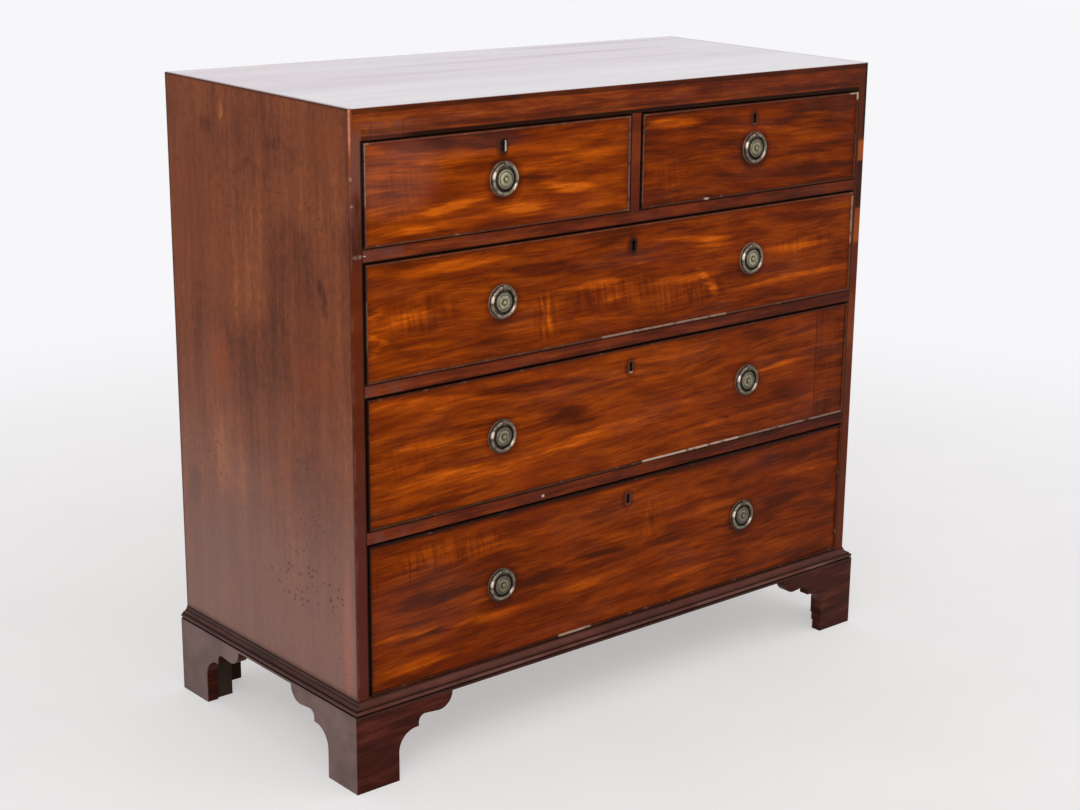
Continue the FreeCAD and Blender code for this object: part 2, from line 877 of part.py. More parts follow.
def drawer_front(drawer):
    """The front board: bead rebate, dovetail sockets, bottom groove, lock bed and holes."""
    row, width = drawer["row"], drawer["width"]
    top, tails, pitch = f"row_{row}_top", f"row_{row}_tails", f"row_{row}_pitch"
    half = f"{width} / 2"
    body = node(new_body(f"{drawer['name']}_front", *drawer["place"]))
    face = drawing(body, "XZ_Plane")
    rectangle(face, (f"-{half}", half), ("front_lift", top))
    pad(body, face, "front_thickness", back=True)
    rebate = drawing(body, "XZ_Plane")
    rectangle(rebate, (f"-{half}", half), ("front_lift", top))
    rectangle(
        rebate,
        (f"-{half} + bead_width", f"{half} - bead_width"),
        ("front_lift + bead_width", f"{top} - bead_width"),
    )
    pocket(body, rebate, "bead_depth")
    for sign, back in (("", False), ("-", True)):
        end = drawing(body, "YZ_Plane", f"{sign}{half}")
        tail_outline(end, pitch)
        socket = pocket(body, end, "drawer_side_thickness", back=back)
        repeated(body, socket, end, tails, pitch)
    groove = drawing(body, "YZ_Plane")
    rectangle(
        groove,
        ("front_thickness - front_groove_depth", "front_thickness"),
        ("bottom_rise", "bottom_rise + groove_height"),
    )
    pocket(body, groove, f"{width} - 2 * drawer_side_thickness + 2 * groove_depth", both=True)
    bed = drawing(body, "XZ_Plane", "-front_thickness")
    rectangle(bed, ("-lock_width / 2", "lock_width / 2"), (f"{top} - lock_height", top))
    pocket(body, bed, "lock_thickness", back=True)
    seat = drawing(body, "XY_Plane", top)
    rectangle(
        seat,
        ("-lock_width / 2", "lock_width / 2"),
        ("front_thickness - selvage_depth", "front_thickness"),
    )
    pocket(body, seat, "selvage_thickness")
    hole = drawing(body, "XZ_Plane")
    keyhole(hole, drawer["key_height"])
    pocket(body, hole, "front_thickness - lock_thickness")
    holes = drawing(body, "XZ_Plane")
    for x in drawer["pulls"]:
        disc(holes, x, drawer["pull_height"], "post_radius + post_clearance")
    pocket(body, holes, "front_thickness")


def drawer_box(drawer):
    """The two dovetailed sides and the back."""
    name, row, width = drawer["name"], drawer["row"], drawer["width"]
    height, tails = f"row_{row}_box", f"row_{row}_tails"
    pitch, back_pitch = f"row_{row}_pitch", f"row_{row}_back_pitch"
    thick = "drawer_side_thickness"
    inner_face = f"{width} / 2 - {thick}"
    right = new_body(f"{name}_right_side", *drawer["place"])
    board = drawing(right, "YZ_Plane", inner_face)
    rectangle(board, ("front_thickness", "drawer_length"), ("0", height))
    pad(right, board, thick)
    tail = drawing(right, "YZ_Plane", inner_face)
    tail_outline(tail, pitch)
    repeated(right, pad(right, tail, thick), tail, tails, pitch)
    groove = drawing(right, "YZ_Plane", inner_face)
    rectangle(
        groove, ("front_lap", "drawer_length"), ("bottom_rise", "bottom_rise + groove_height")
    )
    pocket(right, groove, "groove_depth", back=True)
    slot = drawing(right, "YZ_Plane", inner_face)
    rear_pin_outline(slot, back_pitch)
    repeated(right, pocket(right, slot, thick, back=True), slot, tails, back_pitch)
    # the left side is the same board the other way round
    left = doc.addObject("Part::Mirroring", f"{name}_left_side")
    left.Source = right
    left.Normal = Vector(1, 0, 0)
    bind(left, Base__x=drawer["place"][0])
    back = new_body(f"{name}_back", *drawer["place"])
    section = drawing(back, "YZ_Plane")
    rectangle(
        section,
        ("drawer_length - drawer_back_thickness", "drawer_length"),
        ("back_rise", f"{height} - drawer_back_drop"),
    )
    pad(back, section, f"{width} - 2 * {thick}", both=True)
    pins = drawing(back, "YZ_Plane")
    rear_pin_outline(pins, back_pitch)
    repeated(back, pad(back, pins, width, both=True), pins, tails, back_pitch)
    group(f"{name}_box", [left, right, back])


def drawer_bottom(drawer):
    """One panel, or in a long drawer two that rest on a rebated strip between them."""
    name = drawer["name"]
    x, y, z = drawer["place"]
    half = f"({drawer['width']} / 2 - drawer_side_thickness + groove_depth - groove_slack)"
    groove_end = f"{y} + front_thickness - front_groove_depth + groove_slack"
    depth = (groove_end, f"{y} + drawer_length")
    level = (f"{z} + bottom_rise", f"{z} + bottom_rise + drawer_bottom_thickness")
    if drawer["row"] == 1:
        node(box(f"{name}_bottom", (f"{x} - {half}", f"{x} + {half}"), depth, level))
        return
    edge = "muntin_width / 2"
    rib = f"({edge} - muntin_rebate)"
    below = (f"{z} + bottom_rise - muntin_drop", f"{z} + bottom_rise")
    strip = box(f"{name}_muntin_strip", (f"-{edge}", edge), depth, (below[0], level[1]))
    rebates = [
        box(f"{name}_left_rebate", (f"-{edge}", f"-{rib}"), depth, level),
        box(f"{name}_right_rebate", (rib, edge), depth, level),
        box(
            f"{name}_tongue_shoulder",
            (f"-{edge}", edge),
            (groove_end, f"{y} + front_thickness"),
            below,
        ),
    ]
    group(
        f"{name}_bottom",
        [
            box(f"{name}_left_panel", (f"-{half}", f"-{rib}"), depth, level),
            box(f"{name}_right_panel", (rib, half), depth, level),
            cut(f"{name}_muntin", strip, rebates),
        ],
    )


def cock_beads(drawer):
    """Four strips round the front's edges, rounded in front and mitred where they meet."""
    name, top = drawer["name"], f"row_{drawer['row']}_top"
    half = f"{drawer['width']} / 2"
    frame = new_body(f"{name}_bead_frame", *drawer["place"])
    face = drawing(frame, "XZ_Plane", "bead_stand")
    rectangle(face, (f"-{half}", half), ("front_lift", top))
    rectangle(
        face,
        (f"-{half} + bead_width", f"{half} - bead_width"),
        ("front_lift + bead_width", f"{top} - bead_width"),
    )
    strip = pad(frame, face, "bead_stand + bead_depth", back=True)
    softened(frame, strip, "bead_round", ("front",))
    saws = []
    x, y, z = drawer["place"]
    for side, x_sign in (("left", "-"), ("right", "+")):
        for level, height in (("foot", "front_lift"), ("head", top)):
            saw = doc.addObject("Part::Box", f"{name}_bead_saw_{side}_{level}")
            bind(saw, Length="mitre_gap", Width="bead_stand + bead_depth", Height="bead_width * 3")
            leans_right = (side == "left") == (level == "foot")
            turn = Rotation(Vector(0, 1, 0), 45 if leans_right else -45)
            saw.Placement = Placement(Vector(), turn)
            across = "-" if leans_right else "+"
            drop = "- (bead_width * 3 / 2 + mitre_gap / 4) * sqrt(0.5)"
            lean = f"{across} bead_width * 3 / 2 * sqrt(0.5)"
            put(saw, f"{x} {x_sign} {half} {lean}", f"{y} - bead_stand", f"{z} + {height} {drop}")
            saws.append(saw)
    node(cut(f"{name}_cock_beads", frame, saws))


def drawer_lock(drawer):
    """The lock case with its bolt slot, key pin and keyhole, and the thin liner in the front."""
    name, top = drawer["name"], f"row_{drawer['row']}_top"
    case = new_body(f"{name}_lock_case", *drawer["place"])
    plate = drawing(case, "XZ_Plane", "-front_thickness")
    rectangle(plate, ("-lock_width / 2", "lock_width / 2"), (f"{top} - lock_height", top))
    pad(case, plate, "lock_thickness")
    selvage = drawing(case, "XY_Plane", f"{top} - selvage_thickness")
    rectangle(
        selvage,
        ("-lock_width / 2", "lock_width / 2"),
        ("front_thickness - selvage_depth", "front_thickness"),
    )
    pad(case, selvage, "selvage_thickness")
    slot = drawing(case, "XY_Plane", top)
    rectangle(
        slot,
        ("-bolt_width / 2 - bolt_gap", "bolt_width / 2 + bolt_gap"),
        (
            "bolt_line - bolt_thickness / 2 - bolt_gap",
            "bolt_line + bolt_thickness / 2 + bolt_gap",
        ),
    )
    pocket(case, slot, "bolt_height + bolt_gap")
    chamber = drawing(case, "XZ_Plane", "lock_thickness - front_thickness")
    keyhole(chamber, drawer["key_height"])
    pocket(case, chamber, "key_chamber")
    pin = drawing(case, "XZ_Plane", "lock_thickness - front_thickness - key_chamber")
    disc(pin, "0", f"{drawer['key_height']} + key_height / 2 - key_head / 2", "key_pin / 2")
    pad(case, pin, "key_pin_length")
    liner = new_body(f"{name}_keyhole_liner", *drawer["place"])
    face = drawing(liner, "XZ_Plane")
    keyhole(face, drawer["key_height"])
    keyhole(face, drawer["key_height"], "liner_wall")
    pad(liner, face, "liner_depth", back=True)
    group(f"{name}_lock", [case, liner])
    bolt = node(new_body(f"{name}_bolt", *drawer["place"]))
    plan = drawing(bolt, "XY_Plane", top)
    rectangle(
        plan,
        ("-bolt_width / 2", "bolt_width / 2"),
        ("bolt_line - bolt_thickness / 2", "bolt_line + bolt_thickness / 2"),
    )
    pad(bolt, plan, "bolt_height", back=True)
    talon = drawing(bolt, "XZ_Plane", "bolt_thickness / 2 - bolt_line")
    foot = f"{top} - bolt_height"
    rectangle(talon, ("-talon_width / 2", "talon_width / 2"), (foot, f"{foot} + talon_height"))
    pocket(bolt, talon, "bolt_thickness")


def pull_plate(name, x, y, z):
    """A pressed round plate with a raised rim and boss, and the eye that the ring hangs in."""
    plate = new_body(name, x, y, z)
    section = drawing(plate, "XY_Plane")
    hole = "post_radius + post_clearance"
    groove = "face_groove_width / 2"
    outline(
        section,
        [
            (hole, "0"),
            ("plate_radius", "0"),
            ("plate_radius", "-plate_thickness"),
            ("plate_radius - rim_width / 4", "-plate_thickness - rim_height"),
            ("plate_radius - rim_width * 3 / 4", "-plate_thickness - rim_height"),
            ("plate_radius - rim_width", "-plate_thickness"),
            ("boss_radius", "-plate_thickness"),
            ("boss_radius - boss_taper", "-boss_height + boss_round"),
            ("boss_radius - boss_taper - boss_round", "-boss_height"),
            (f"face_groove_radius + {groove}", "-boss_height"),
            ("face_groove_radius", f"-boss_height + {groove}"),
            (f"face_groove_radius - {groove}", "-boss_height"),
            ("dish_radius", "-boss_height + dish_depth"),
            ("recess_radius", "-boss_height + dish_depth"),
            ("recess_radius", "-boss_height + recess_depth"),
            (hole, "-boss_height + recess_depth"),
        ],
        {
            7: (("boss_radius - boss_taper - boss_round", "-boss_height + boss_round"), -1),
        },
    )
    turned(plate, section)
    eye = drawing(plate, "YZ_Plane")
    disc(eye, "-ring_offset", "ring_radius", "wire_radius + eye_gap + eye_wall")
    pad(plate, eye, "eye_width", both=True)
    bore = drawing(plate, "YZ_Plane")
    disc(bore, "-ring_offset", "ring_radius", "wire_radius + eye_gap")
    pocket(plate, bore, "eye_width", both=True)
    return plate


def pull_post(name, x, y, z):
    """The bolt that holds a pull: a domed button, and a shank through plate and front."""
    post = new_body(name, x, y, z)
    section = drawing(post, "XY_Plane")
    seat = "-boss_height + recess_depth"
    tail = "front_thickness + nut_thickness + post_end"
    outline(
        section,
        [
            ("0", "-pull_reach"),
            ("button_radius - button_round", "-pull_reach"),
            ("button_radius", "-pull_reach + button_round"),
            ("button_radius", seat),
            ("post_radius", seat),
            ("post_radius", tail),
            ("0", tail),
        ],
        {1: (("button_radius - button_round", "-pull_reach + button_round"), 1)},
    )
    turned(post, section)
    return post


def pull_nut(name, x, y, z):
    nut = new_body(name, x, y, z)
    face = drawing(nut, "XZ_Plane", "-front_thickness")
    rectangle(face, ("-nut_width / 2", "nut_width / 2"), ("-nut_width / 2", "nut_width / 2"))
    disc(face, "0", "0", "post_radius")
    pad(nut, face, "nut_thickness", back=True)
    return nut


def drawer_pulls(drawer):
    """Plates, posts and nuts in one group; each swinging ring on its own."""
    name = drawer["name"]
    x, y, z = drawer["place"]
    fittings = []
    for side, across in zip(drawer["pull_names"], drawer["pulls"]):
        at = (f"{x} + {across}", y, f"{z} + {drawer['pull_height']}")
        fittings.append(pull_plate(f"{name}_plate{side}", *at))
        fittings.append(pull_post(f"{name}_post{side}", *at))
        fittings.append(pull_nut(f"{name}_nut{side}", *at))
        ring = node(doc.addObject("Part::Torus", f"{name}_ring{side}"))
        bind(ring, Radius1="ring_radius", Radius2="wire_radius")
        ring.Placement = Placement(Vector(), Rotation(Vector(1, 0, 0), 90))
        put(ring, at[0], f"{y} - ring_offset", at[2])
    group(f"{name}_pulls", fittings)


def drawer(name, row, middle):
    """All the pieces of one drawer."""
    short = row == 1
    place = (middle, "front_plane", f"row_{row}_floor + run_gap")
    drop = "short_key_drop" if short else "long_key_drop"
    below_key = f"row_{row}_height - {drop} - key_height / 2 - key_margin - plate_radius"
    aside = "(short_middle + pull_outset)"
    whole = {
        "name": name,
        "row": row,
        "place": place,
        "width": "short_width" if short else "long_width",
        "key_height": f"(row_{row}_height - run_gap - {drop})",
        "pull_height": f"(min(row_{row}_height / 2; {below_key}) - run_gap)",
        "pulls": ("0",) if short else (f"(-{aside})", aside),
        "pull_names": ("",) if short else ("_left", "_right"),
    }
    drawer_front(whole)
    drawer_box(whole)
    drawer_bottom(whole)
    cock_beads(whole)
    drawer_lock(whole)
    drawer_pulls(whole)


def check():
    """Stop if an object failed, a sub-part isn't sound, or a cut took nothing away."""
    doc.recompute()
    for thing in doc.Objects:
        if "Invalid" in thing.State or "Error" in thing.State:
            raise RuntimeError(f"{thing.Label} failed: {thing.State}")
        if thing.TypeId == "PartDesign::Pocket":
            if thing.BaseFeature.Shape.Volume - thing.Shape.Volume < 0.1:
                raise RuntimeError(f"{thing.Label} cuts nothing")
    for thing in nodes:
        if thing.Shape.isNull() or not thing.Shape.isValid():
            raise RuntimeError(f"{thing.Label} isn't a sound shape")


case_sides()
top_board()
rails()
divider()
inner_boards()
drawer_stops()
back_boards()
base_mouldings()
feet()
foot_blocks()
drawer("short_left", 1, "-short_middle")
drawer("short_right", 1, "short_middle")
drawer("upper_long", 2, "0")
drawer("middle_long", 3, "0")
drawer("lower_long", 4, "0")
check()

os.makedirs("parts", exist_ok=True)
for thing in nodes:
    thing.Shape.exportStep(f"parts/{thing.Label}.step")
print(len(nodes), "nodes written")
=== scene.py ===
import math

import bmesh
import bpy
import numpy as np
from mathutils import Matrix, Vector


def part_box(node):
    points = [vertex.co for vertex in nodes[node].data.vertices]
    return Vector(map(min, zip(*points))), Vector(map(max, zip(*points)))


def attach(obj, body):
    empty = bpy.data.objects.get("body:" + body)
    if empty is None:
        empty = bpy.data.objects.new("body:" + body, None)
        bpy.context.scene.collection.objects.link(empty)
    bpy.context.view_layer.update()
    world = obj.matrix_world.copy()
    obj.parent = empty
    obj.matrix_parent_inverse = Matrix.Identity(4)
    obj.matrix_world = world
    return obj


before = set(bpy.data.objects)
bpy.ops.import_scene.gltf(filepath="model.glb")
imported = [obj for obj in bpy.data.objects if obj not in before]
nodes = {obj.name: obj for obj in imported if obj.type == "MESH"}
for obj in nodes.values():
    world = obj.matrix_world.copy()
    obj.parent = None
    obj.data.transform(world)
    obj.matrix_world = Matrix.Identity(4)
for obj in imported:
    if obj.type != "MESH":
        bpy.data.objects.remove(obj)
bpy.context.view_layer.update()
print("frame loaded:", len(nodes), "nodes")

# Everything is in metres: x to the right as one faces the drawers, y into the chest, z up.
shortDrawers = ("short_left", "short_right")
allDrawers = (*shortDrawers, "upper_long", "middle_long", "lower_long")
sideLow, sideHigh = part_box("left_side")
frontPlane, backPlane, caseHalf = sideLow.y, sideHigh.y, -sideLow.x
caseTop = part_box("top_board")[1].z
sideThickness = 0.02
openingHalf = caseHalf - sideThickness
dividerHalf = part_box("drawer_divider")[1].x
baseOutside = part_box("base_moulding")[1].x
base, mouldingTop = (corner.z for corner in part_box("base_moulding"))
slack = {"under": 0.0012, "over": 0.002}  # between each drawer front and its opening
fronts = [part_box(f"{drawer}_front") for drawer in allDrawers]
rowFloors = sorted({round(low.z - slack["under"], 4) for low, _ in fronts})
rowCeilings = sorted({round(high.z + slack["over"], 4) for _, high in fronts})


def tone(red, green, blue):
    # A colour as a paint chart gives it, 0 to 255, made linear as shaders want it.
    parts = np.array([red, green, blue]) / 255
    linear = np.where(parts <= 0.04045, parts / 12.92, ((parts + 0.055) / 1.055) ** 2.4)
    return (*linear.tolist(), 1)


def operators(operation):
    # The two forms of an operator: with the socket on its left, and on its right.
    def forward(self, other):
        return self.maths(operation, self, other)

    def reflected(self, other):
        return self.maths(operation, other, self)

    return forward, reflected


class Signal:
    # One output socket that Python arithmetic works on. Each operator adds a Math node.
    def __init__(self, finish, socket):
        self.finish = finish
        self.socket = socket

    def maths(self, operation, first, second=None):
        return self.finish.add("ShaderNodeMath", {"operation": operation}, {0: first, 1: second})

    __add__, __radd__ = operators("ADD")
    __sub__, __rsub__ = operators("SUBTRACT")
    __mul__, __rmul__ = operators("MULTIPLY")
    __truediv__, __rtruediv__ = operators("DIVIDE")
    __pow__, __rpow__ = operators("POWER")
    least = operators("MINIMUM")[0]
    most = operators("MAXIMUM")[0]

    def __abs__(self):
        return self.maths("ABSOLUTE", self)

    def rising(self, low, high):
        # 0 below low, 1 above high and smooth between; falls instead where low is above high.
        settings = {"interpolation_type": "SMOOTHSTEP"}
        values = {"Value": self, "From Min": low, "From Max": high}
        return self.finish.add("ShaderNodeMapRange", settings, values)

    def within(self, low, high, soft):
        # 1 between low and high, fading out over soft beyond each.
        return self.rising(low - soft, low) * self.rising(high + soft, high)


class Finish:
    # A material under construction, with a Principled shader that takes the results.
    def __init__(self, name, constants):
        self.material = bpy.data.materials.new(name)
        self.material.use_nodes = True
        self.tree = self.material.node_tree
        self.tree.nodes.clear()
        self.output = self.tree.nodes.new("ShaderNodeOutputMaterial")
        self.shader = self.tree.nodes.new("ShaderNodeBsdfPrincipled")
        self.tree.links.new(self.shader.outputs[0], self.output.inputs["Surface"])
        for socketName, value in constants.items():
            self.shader.inputs[socketName].default_value = value
        self.place = self.add("ShaderNodeTexCoord", output="Object")
        split = self.add("ShaderNodeSeparateXYZ", values={0: self.place}).socket.node
        self.axes = [Signal(self, socket) for socket in split.outputs]

    def add(self, kind, settings=None, values=None, output=0):
        node = self.tree.nodes.new(kind)
        for name, setting in (settings or {}).items():
            if name == "stops":
                self.setStops(node.color_ramp, setting)
            else:
                setattr(node, name, setting)
        for name, value in (values or {}).items():
            if isinstance(value, Signal):
                self.tree.links.new(value.socket, node.inputs[name])
            elif value is not None:
                node.inputs[name].default_value = value
        return Signal(self, node.outputs[output])

    def setStops(self, ramp, stops):
        while len(ramp.elements) < len(stops):
            ramp.elements.new(0.5)
        for element, (position, colour) in zip(ramp.elements, stops):
            element.position = position
            element.color = tone(*colour)

    def vector(self, x, y, z):
        return self.add("ShaderNodeCombineXYZ", values={0: x, 1: y, 2: z})

    def noise(self, place, detail=2, rough=0.5, size=1):
        # Soft random values, about 0.3 to 0.7, at a vector or at three coordinates.
        place = self.vector(*place) if isinstance(place, tuple) else place
        values = {"Vector": place, "Scale": size, "Detail": detail, "Roughness": rough}
        return self.add("ShaderNodeTexNoise", values=values)

    def blotches(self, size, detail=4, rough=0.5):
        # The same all over the piece, changing so many times in a metre.
        return self.noise(self.place, detail, rough, size)

    def ramp(self, amount, stops):
        return self.add("ShaderNodeValToRGB", {"stops": stops}, {0: amount})

    def mix(self, amount, *colours):
        # The first colour where amount is 0, the second where it is 1; each a socket or a tone.
        first, second = (tone(*each) if isinstance(each, tuple) else each for each in colours)
        settings = {"data_type": "RGBA", "clamp_factor": True}
        return self.add("ShaderNodeMix", settings, {0: amount, 6: first, 7: second}, 2)

    def bump(self, height, strength, distance, under=None):
        values = {"Height": height, "Strength": strength, "Distance": distance, "Normal": under}
        return self.add("ShaderNodeBump", values=values)

    def spot(self, across, up, middleAcross, middleUp, halfAcross, halfUp):
        # 1 at the middle of an ellipse, falling smoothly to 0 at its edge.
        reach = ((across - middleAcross) / halfAcross) ** 2 + ((up - middleUp) / halfUp) ** 2
        return reach.rising(1, 0)

    def spots(self, across, up, rows):
        # Spots added up: each row has a middle, half sizes and a strength.
        return sum(self.spot(across, up, *row[:4]) * row[4] for row in rows)

    def give(self, colour, rough, normal, coat=None, metal=None):
        results = {"Base Color": colour, "Roughness": rough, "Normal": normal}
        for name, result in {**results, "Coat Weight": coat, "Metallic": metal}.items():
            if result is not None:
                self.tree.links.new(result.socket, self.shader.inputs[name])
        return self.material


view = {
    "place": (-2.0388, -2.4776, 1.3738),
    "azimuth": 42.557,
    "elevation": 16.127,
    "roll": 1.343,
    "pictureWidth": 1080,
    "focalPixels": 2009.9,
    "rightwardPixels": 99.3,  # from the picture's middle to the point straight ahead
    "sensor": 36,
}


def addObject(name, data):
    added = bpy.data.objects.new(name, data)
    bpy.context.scene.collection.objects.link(added)
    return added


def makeCamera():
    azimuth, elevation, roll = (math.radians(view[name]) for name in ("azimuth", "elevation", "roll"))
    ahead = Vector((math.sin(azimuth), math.cos(azimuth), 0)) * math.cos(elevation)
    ahead.z = -math.sin(elevation)
    right = Vector((math.cos(azimuth), -math.sin(azimuth), 0))
    up = right.cross(ahead)
    tilted = math.cos(roll) * right + math.sin(roll) * up
    upright = -math.sin(roll) * right + math.cos(roll) * up
    data = bpy.data.cameras.new("camera")
    data.sensor_width = view["sensor"]
    data.lens = view["focalPixels"] / view["pictureWidth"] * view["sensor"]
    data.shift_x = -view["rightwardPixels"] / view["pictureWidth"]
    camera = addObject("camera", data)
    turn = Matrix((tilted, upright, -ahead)).transposed().to_4x4()
    camera.matrix_world = Matrix.Translation(view["place"]) @ turn
    bpy.context.scene.camera = camera


lamps = {
    # name: place, what it points at, width, height, power in watts
    "keySoftbox": ((-2.9, -2.9, 3.2), (0, 0, 0.5), 1.6, 1.6, 60),
    "highSoftbox": ((0.6, -2, 3.8), (0, 0, 0.5), 2.8, 2.4, 30),
}
studio = {
    # colour and strength: what lights the chest, and what is seen behind it
    "light": ((252, 250, 252), 0.86),
    "backdrop": ((248, 247, 251), 1),
}


def seenRays(tree):
    # 1 for what the camera sees, also in metal or glass.
    path = tree.nodes.new("ShaderNodeLightPath")
    seen = path.outputs["Is Camera Ray"]
    for ray in ("Is Glossy Ray", "Is Transmission Ray"):
        either = tree.nodes.new("ShaderNodeMath")
        either.operation = "MAXIMUM"
        tree.links.new(seen, either.inputs[0])
        tree.links.new(path.outputs[ray], either.inputs[1])
        seen = either.outputs[0]
    return seen


def makeLamps():
    for name, (place, target, width, height, power) in lamps.items():
        data = bpy.data.lights.new(name, "AREA")
        data.shape = "RECTANGLE"
        data.size = width
        data.size_y = height
        data.energy = power
        lamp = addObject(name, data)
        turn = (Vector(target) - Vector(place)).to_track_quat("-Z", "Y")
        lamp.matrix_world = Matrix.Translation(place) @ turn.to_matrix().to_4x4()
        lamp.visible_camera = False
    world = bpy.data.worlds.new("studio")
    world.use_nodes = True
    tree = world.node_tree
    tree.nodes.clear()
    chosen = tree.nodes.new("ShaderNodeMixShader")
    tree.links.new(seenRays(tree), chosen.inputs[0])
    for number, (colour, strength) in enumerate(studio.values(), 1):
        background = tree.nodes.new("ShaderNodeBackground")
        background.inputs["Color"].default_value = tone(*colour)
        background.inputs["Strength"].default_value = strength
        tree.links.new(background.outputs[0], chosen.inputs[number])
    output = tree.nodes.new("ShaderNodeOutputWorld")
    tree.links.new(chosen.outputs[0], output.inputs["Surface"])
    bpy.context.scene.world = world


def fullTurn(count):
    return np.linspace(0, 2 * math.pi, count, endpoint=False)


def gridFaces(rows, columns, closed, looped):
    # Four corners of each face of a grid; closed joins its last column to its first, looped its rows.
    row, column = np.indices((rows - (not looped), columns - (not closed)))
    nextRow, nextColumn = (row + 1) % rows, (column + 1) % columns
    corners = [row * columns + column, row * columns + nextColumn]
    corners += [nextRow * columns + nextColumn, nextRow * columns + column]
    return np.stack([corner.ravel() for corner in corners], 1)


def gridPiece(name, points, material, closed=False, looped=False):
    # One mesh of like grids: points is copies by rows by columns by 3.
    copies, rows, columns, _ = points.shape
    faces = gridFaces(rows, columns, closed, looped)
    faces = faces[None] + np.arange(copies)[:, None, None] * rows * columns
    mesh = bpy.data.meshes.new(name)
    mesh.from_pydata(points.reshape(-1, 3).tolist(), [], faces.reshape(-1, 4).tolist())
    joined = bmesh.new()
    joined.from_mesh(mesh)
    bmesh.ops.remove_doubles(joined, verts=joined.verts, dist=1e-7)  # closes the poles
    joined.to_mesh(mesh)
    joined.free()
    mesh.polygons.foreach_set("use_smooth", np.ones(len(mesh.polygons), dtype=bool))
    mesh.update()
    mesh.materials.append(material)
    return addObject(name, mesh)


def fit(piece, body):
    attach(piece, body)


floorPlan = {
    "radius": 14,
    "rings": 24,
    "spokes": 96,
    "fadeStart": 0.7,  # from here outwards the paint gives way to the backdrop's white
    "fadeEnd": 2.7,
    "nearGlow": 0.5,  # how much of the near floor is the backdrop's light rather than the lamps'
}


def makeFloor():
    # Rings of a disc: the radius grows with the square of the ring's number.
    ring = np.linspace(0, 1, floorPlan["rings"])[:, None] ** 2 * floorPlan["radius"]
    spoke = fullTurn(floorPlan["spokes"])
    points = np.stack([ring * np.cos(spoke), ring * np.sin(spoke), 0 * ring * spoke], -1)
    finish = Finish("floorPaint", {"Roughness": 0.9, "Specular IOR Level": 0.1})
    x, y, _ = finish.axes
    mottle = finish.blotches(3)
    paint = finish.mix(mottle.rising(0.3, 0.7), (227, 226, 225), (232, 231, 230))
    finish.tree.links.new(paint.socket, finish.shader.inputs["Base Color"])
    far = ((x**2 + y**2) ** 0.5).rising(floorPlan["fadeStart"], floorPlan["fadeEnd"])
    glow = far * (1 - floorPlan["nearGlow"]) + floorPlan["nearGlow"]
    seen = Signal(finish, seenRays(finish.tree))
    colour = finish.mix(far, (238, 236, 236), (247, 246, 249))
    light = finish.add("ShaderNodeEmission", values={0: colour, 1: 1})
    both = finish.add("ShaderNodeMixShader", values={0: glow * seen, 2: light})
    finish.tree.links.new(finish.shader.outputs[0], both.socket.node.inputs[1])
    finish.tree.links.new(both.socket, finish.output.inputs["Surface"])
    gridPiece("floor", points[None], finish.material, closed=True)


makeCamera()
makeLamps()
makeFloor()
print("camera, lamps and floor made")

darkest = (38, 14, 8)
# Near black: grime, and painted shade in gaps, grooves and under edges.
grimeAndShade = (17, 9, 7)
warmGloss = (1, 0.45, 0.1, 1)  # what polish over red wood gives back, straight on
grain = {
    # how often each layer changes in a metre: along the grain, across it and through the board
    "sway": (1.6, 4.5, 1),
    "wedge": (5, 9, 1),
    "pores": (60, 1500, 200),
    "lines": (15, 620, 5),
}


def polished(name, coatRoughness, gloss=0.08, coat=0):
    constants = {"Specular IOR Level": gloss, "Specular Tint": warmGloss}
    return Finish(name, {**constants, "Coat Weight": coat, "Coat Roughness": coatRoughness})


def figure(finish, way, look, seed=0):
    # How light the wood is, 0 to 1: patches drawn out along the grain with feathered ends, finer
    # streaks in them, and the short dark lines of open pores. Way is the axis that the grain
    # follows; round takes it round a corner of the base.
    x, y, z = finish.axes
    ways = {"x": (x, z, y), "y": (y, z, x), "z": (z, y, x), "round": (x + y, z, x - y)}
    along, across, through = ways[way]
    through += seed

    def layer(size, detail=2, rough=0.5):
        return finish.noise((along * size[0], across * size[1], through * size[2]), detail, rough)

    slow = layer(grain["sway"])
    across = across - along * look.get("slope", 0) + (slow - 0.5) * look["sway"]
    if "wedge" in look:
        across += (layer(grain["wedge"], 1) - 0.5) * look["wedge"]
    patches = layer(look["patchSize"], 5, 0.62).rising(0.33, 0.67)
    streaks = layer(look["streakSize"], 3, 0.65).rising(0.3, 0.7)
    pores = layer(grain["pores"], 1).rising(0.58, 0.7)
    light = look["base"] + (patches - 0.5) * look["patches"] + (streaks - 0.5) * look["streaks"]
    if "lines" in look:
        light += (layer(grain["lines"]).rising(0.3, 0.7) - 0.5) * look["lines"]
    return light, pores, streaks


def nearest(coordinate, levels):
    # How far a coordinate is from the nearest of some levels.
    gap = abs(coordinate - levels[0])
    for level in levels[1:]:
        gap = gap.least(abs(coordinate - level))
    return gap


def patchOutline(across, up, patch):
    # The glue line round a rectangle let into a surface: left, right, bottom, top and width.
    left, right, bottom, top, width = patch
    aside = abs(across - (left + right) / 2) - (right - left) / 2
    above = abs(up - (bottom + top) / 2) - (top - bottom) / 2
    return abs(aside.most(above)).rising(width, width * 0.3)


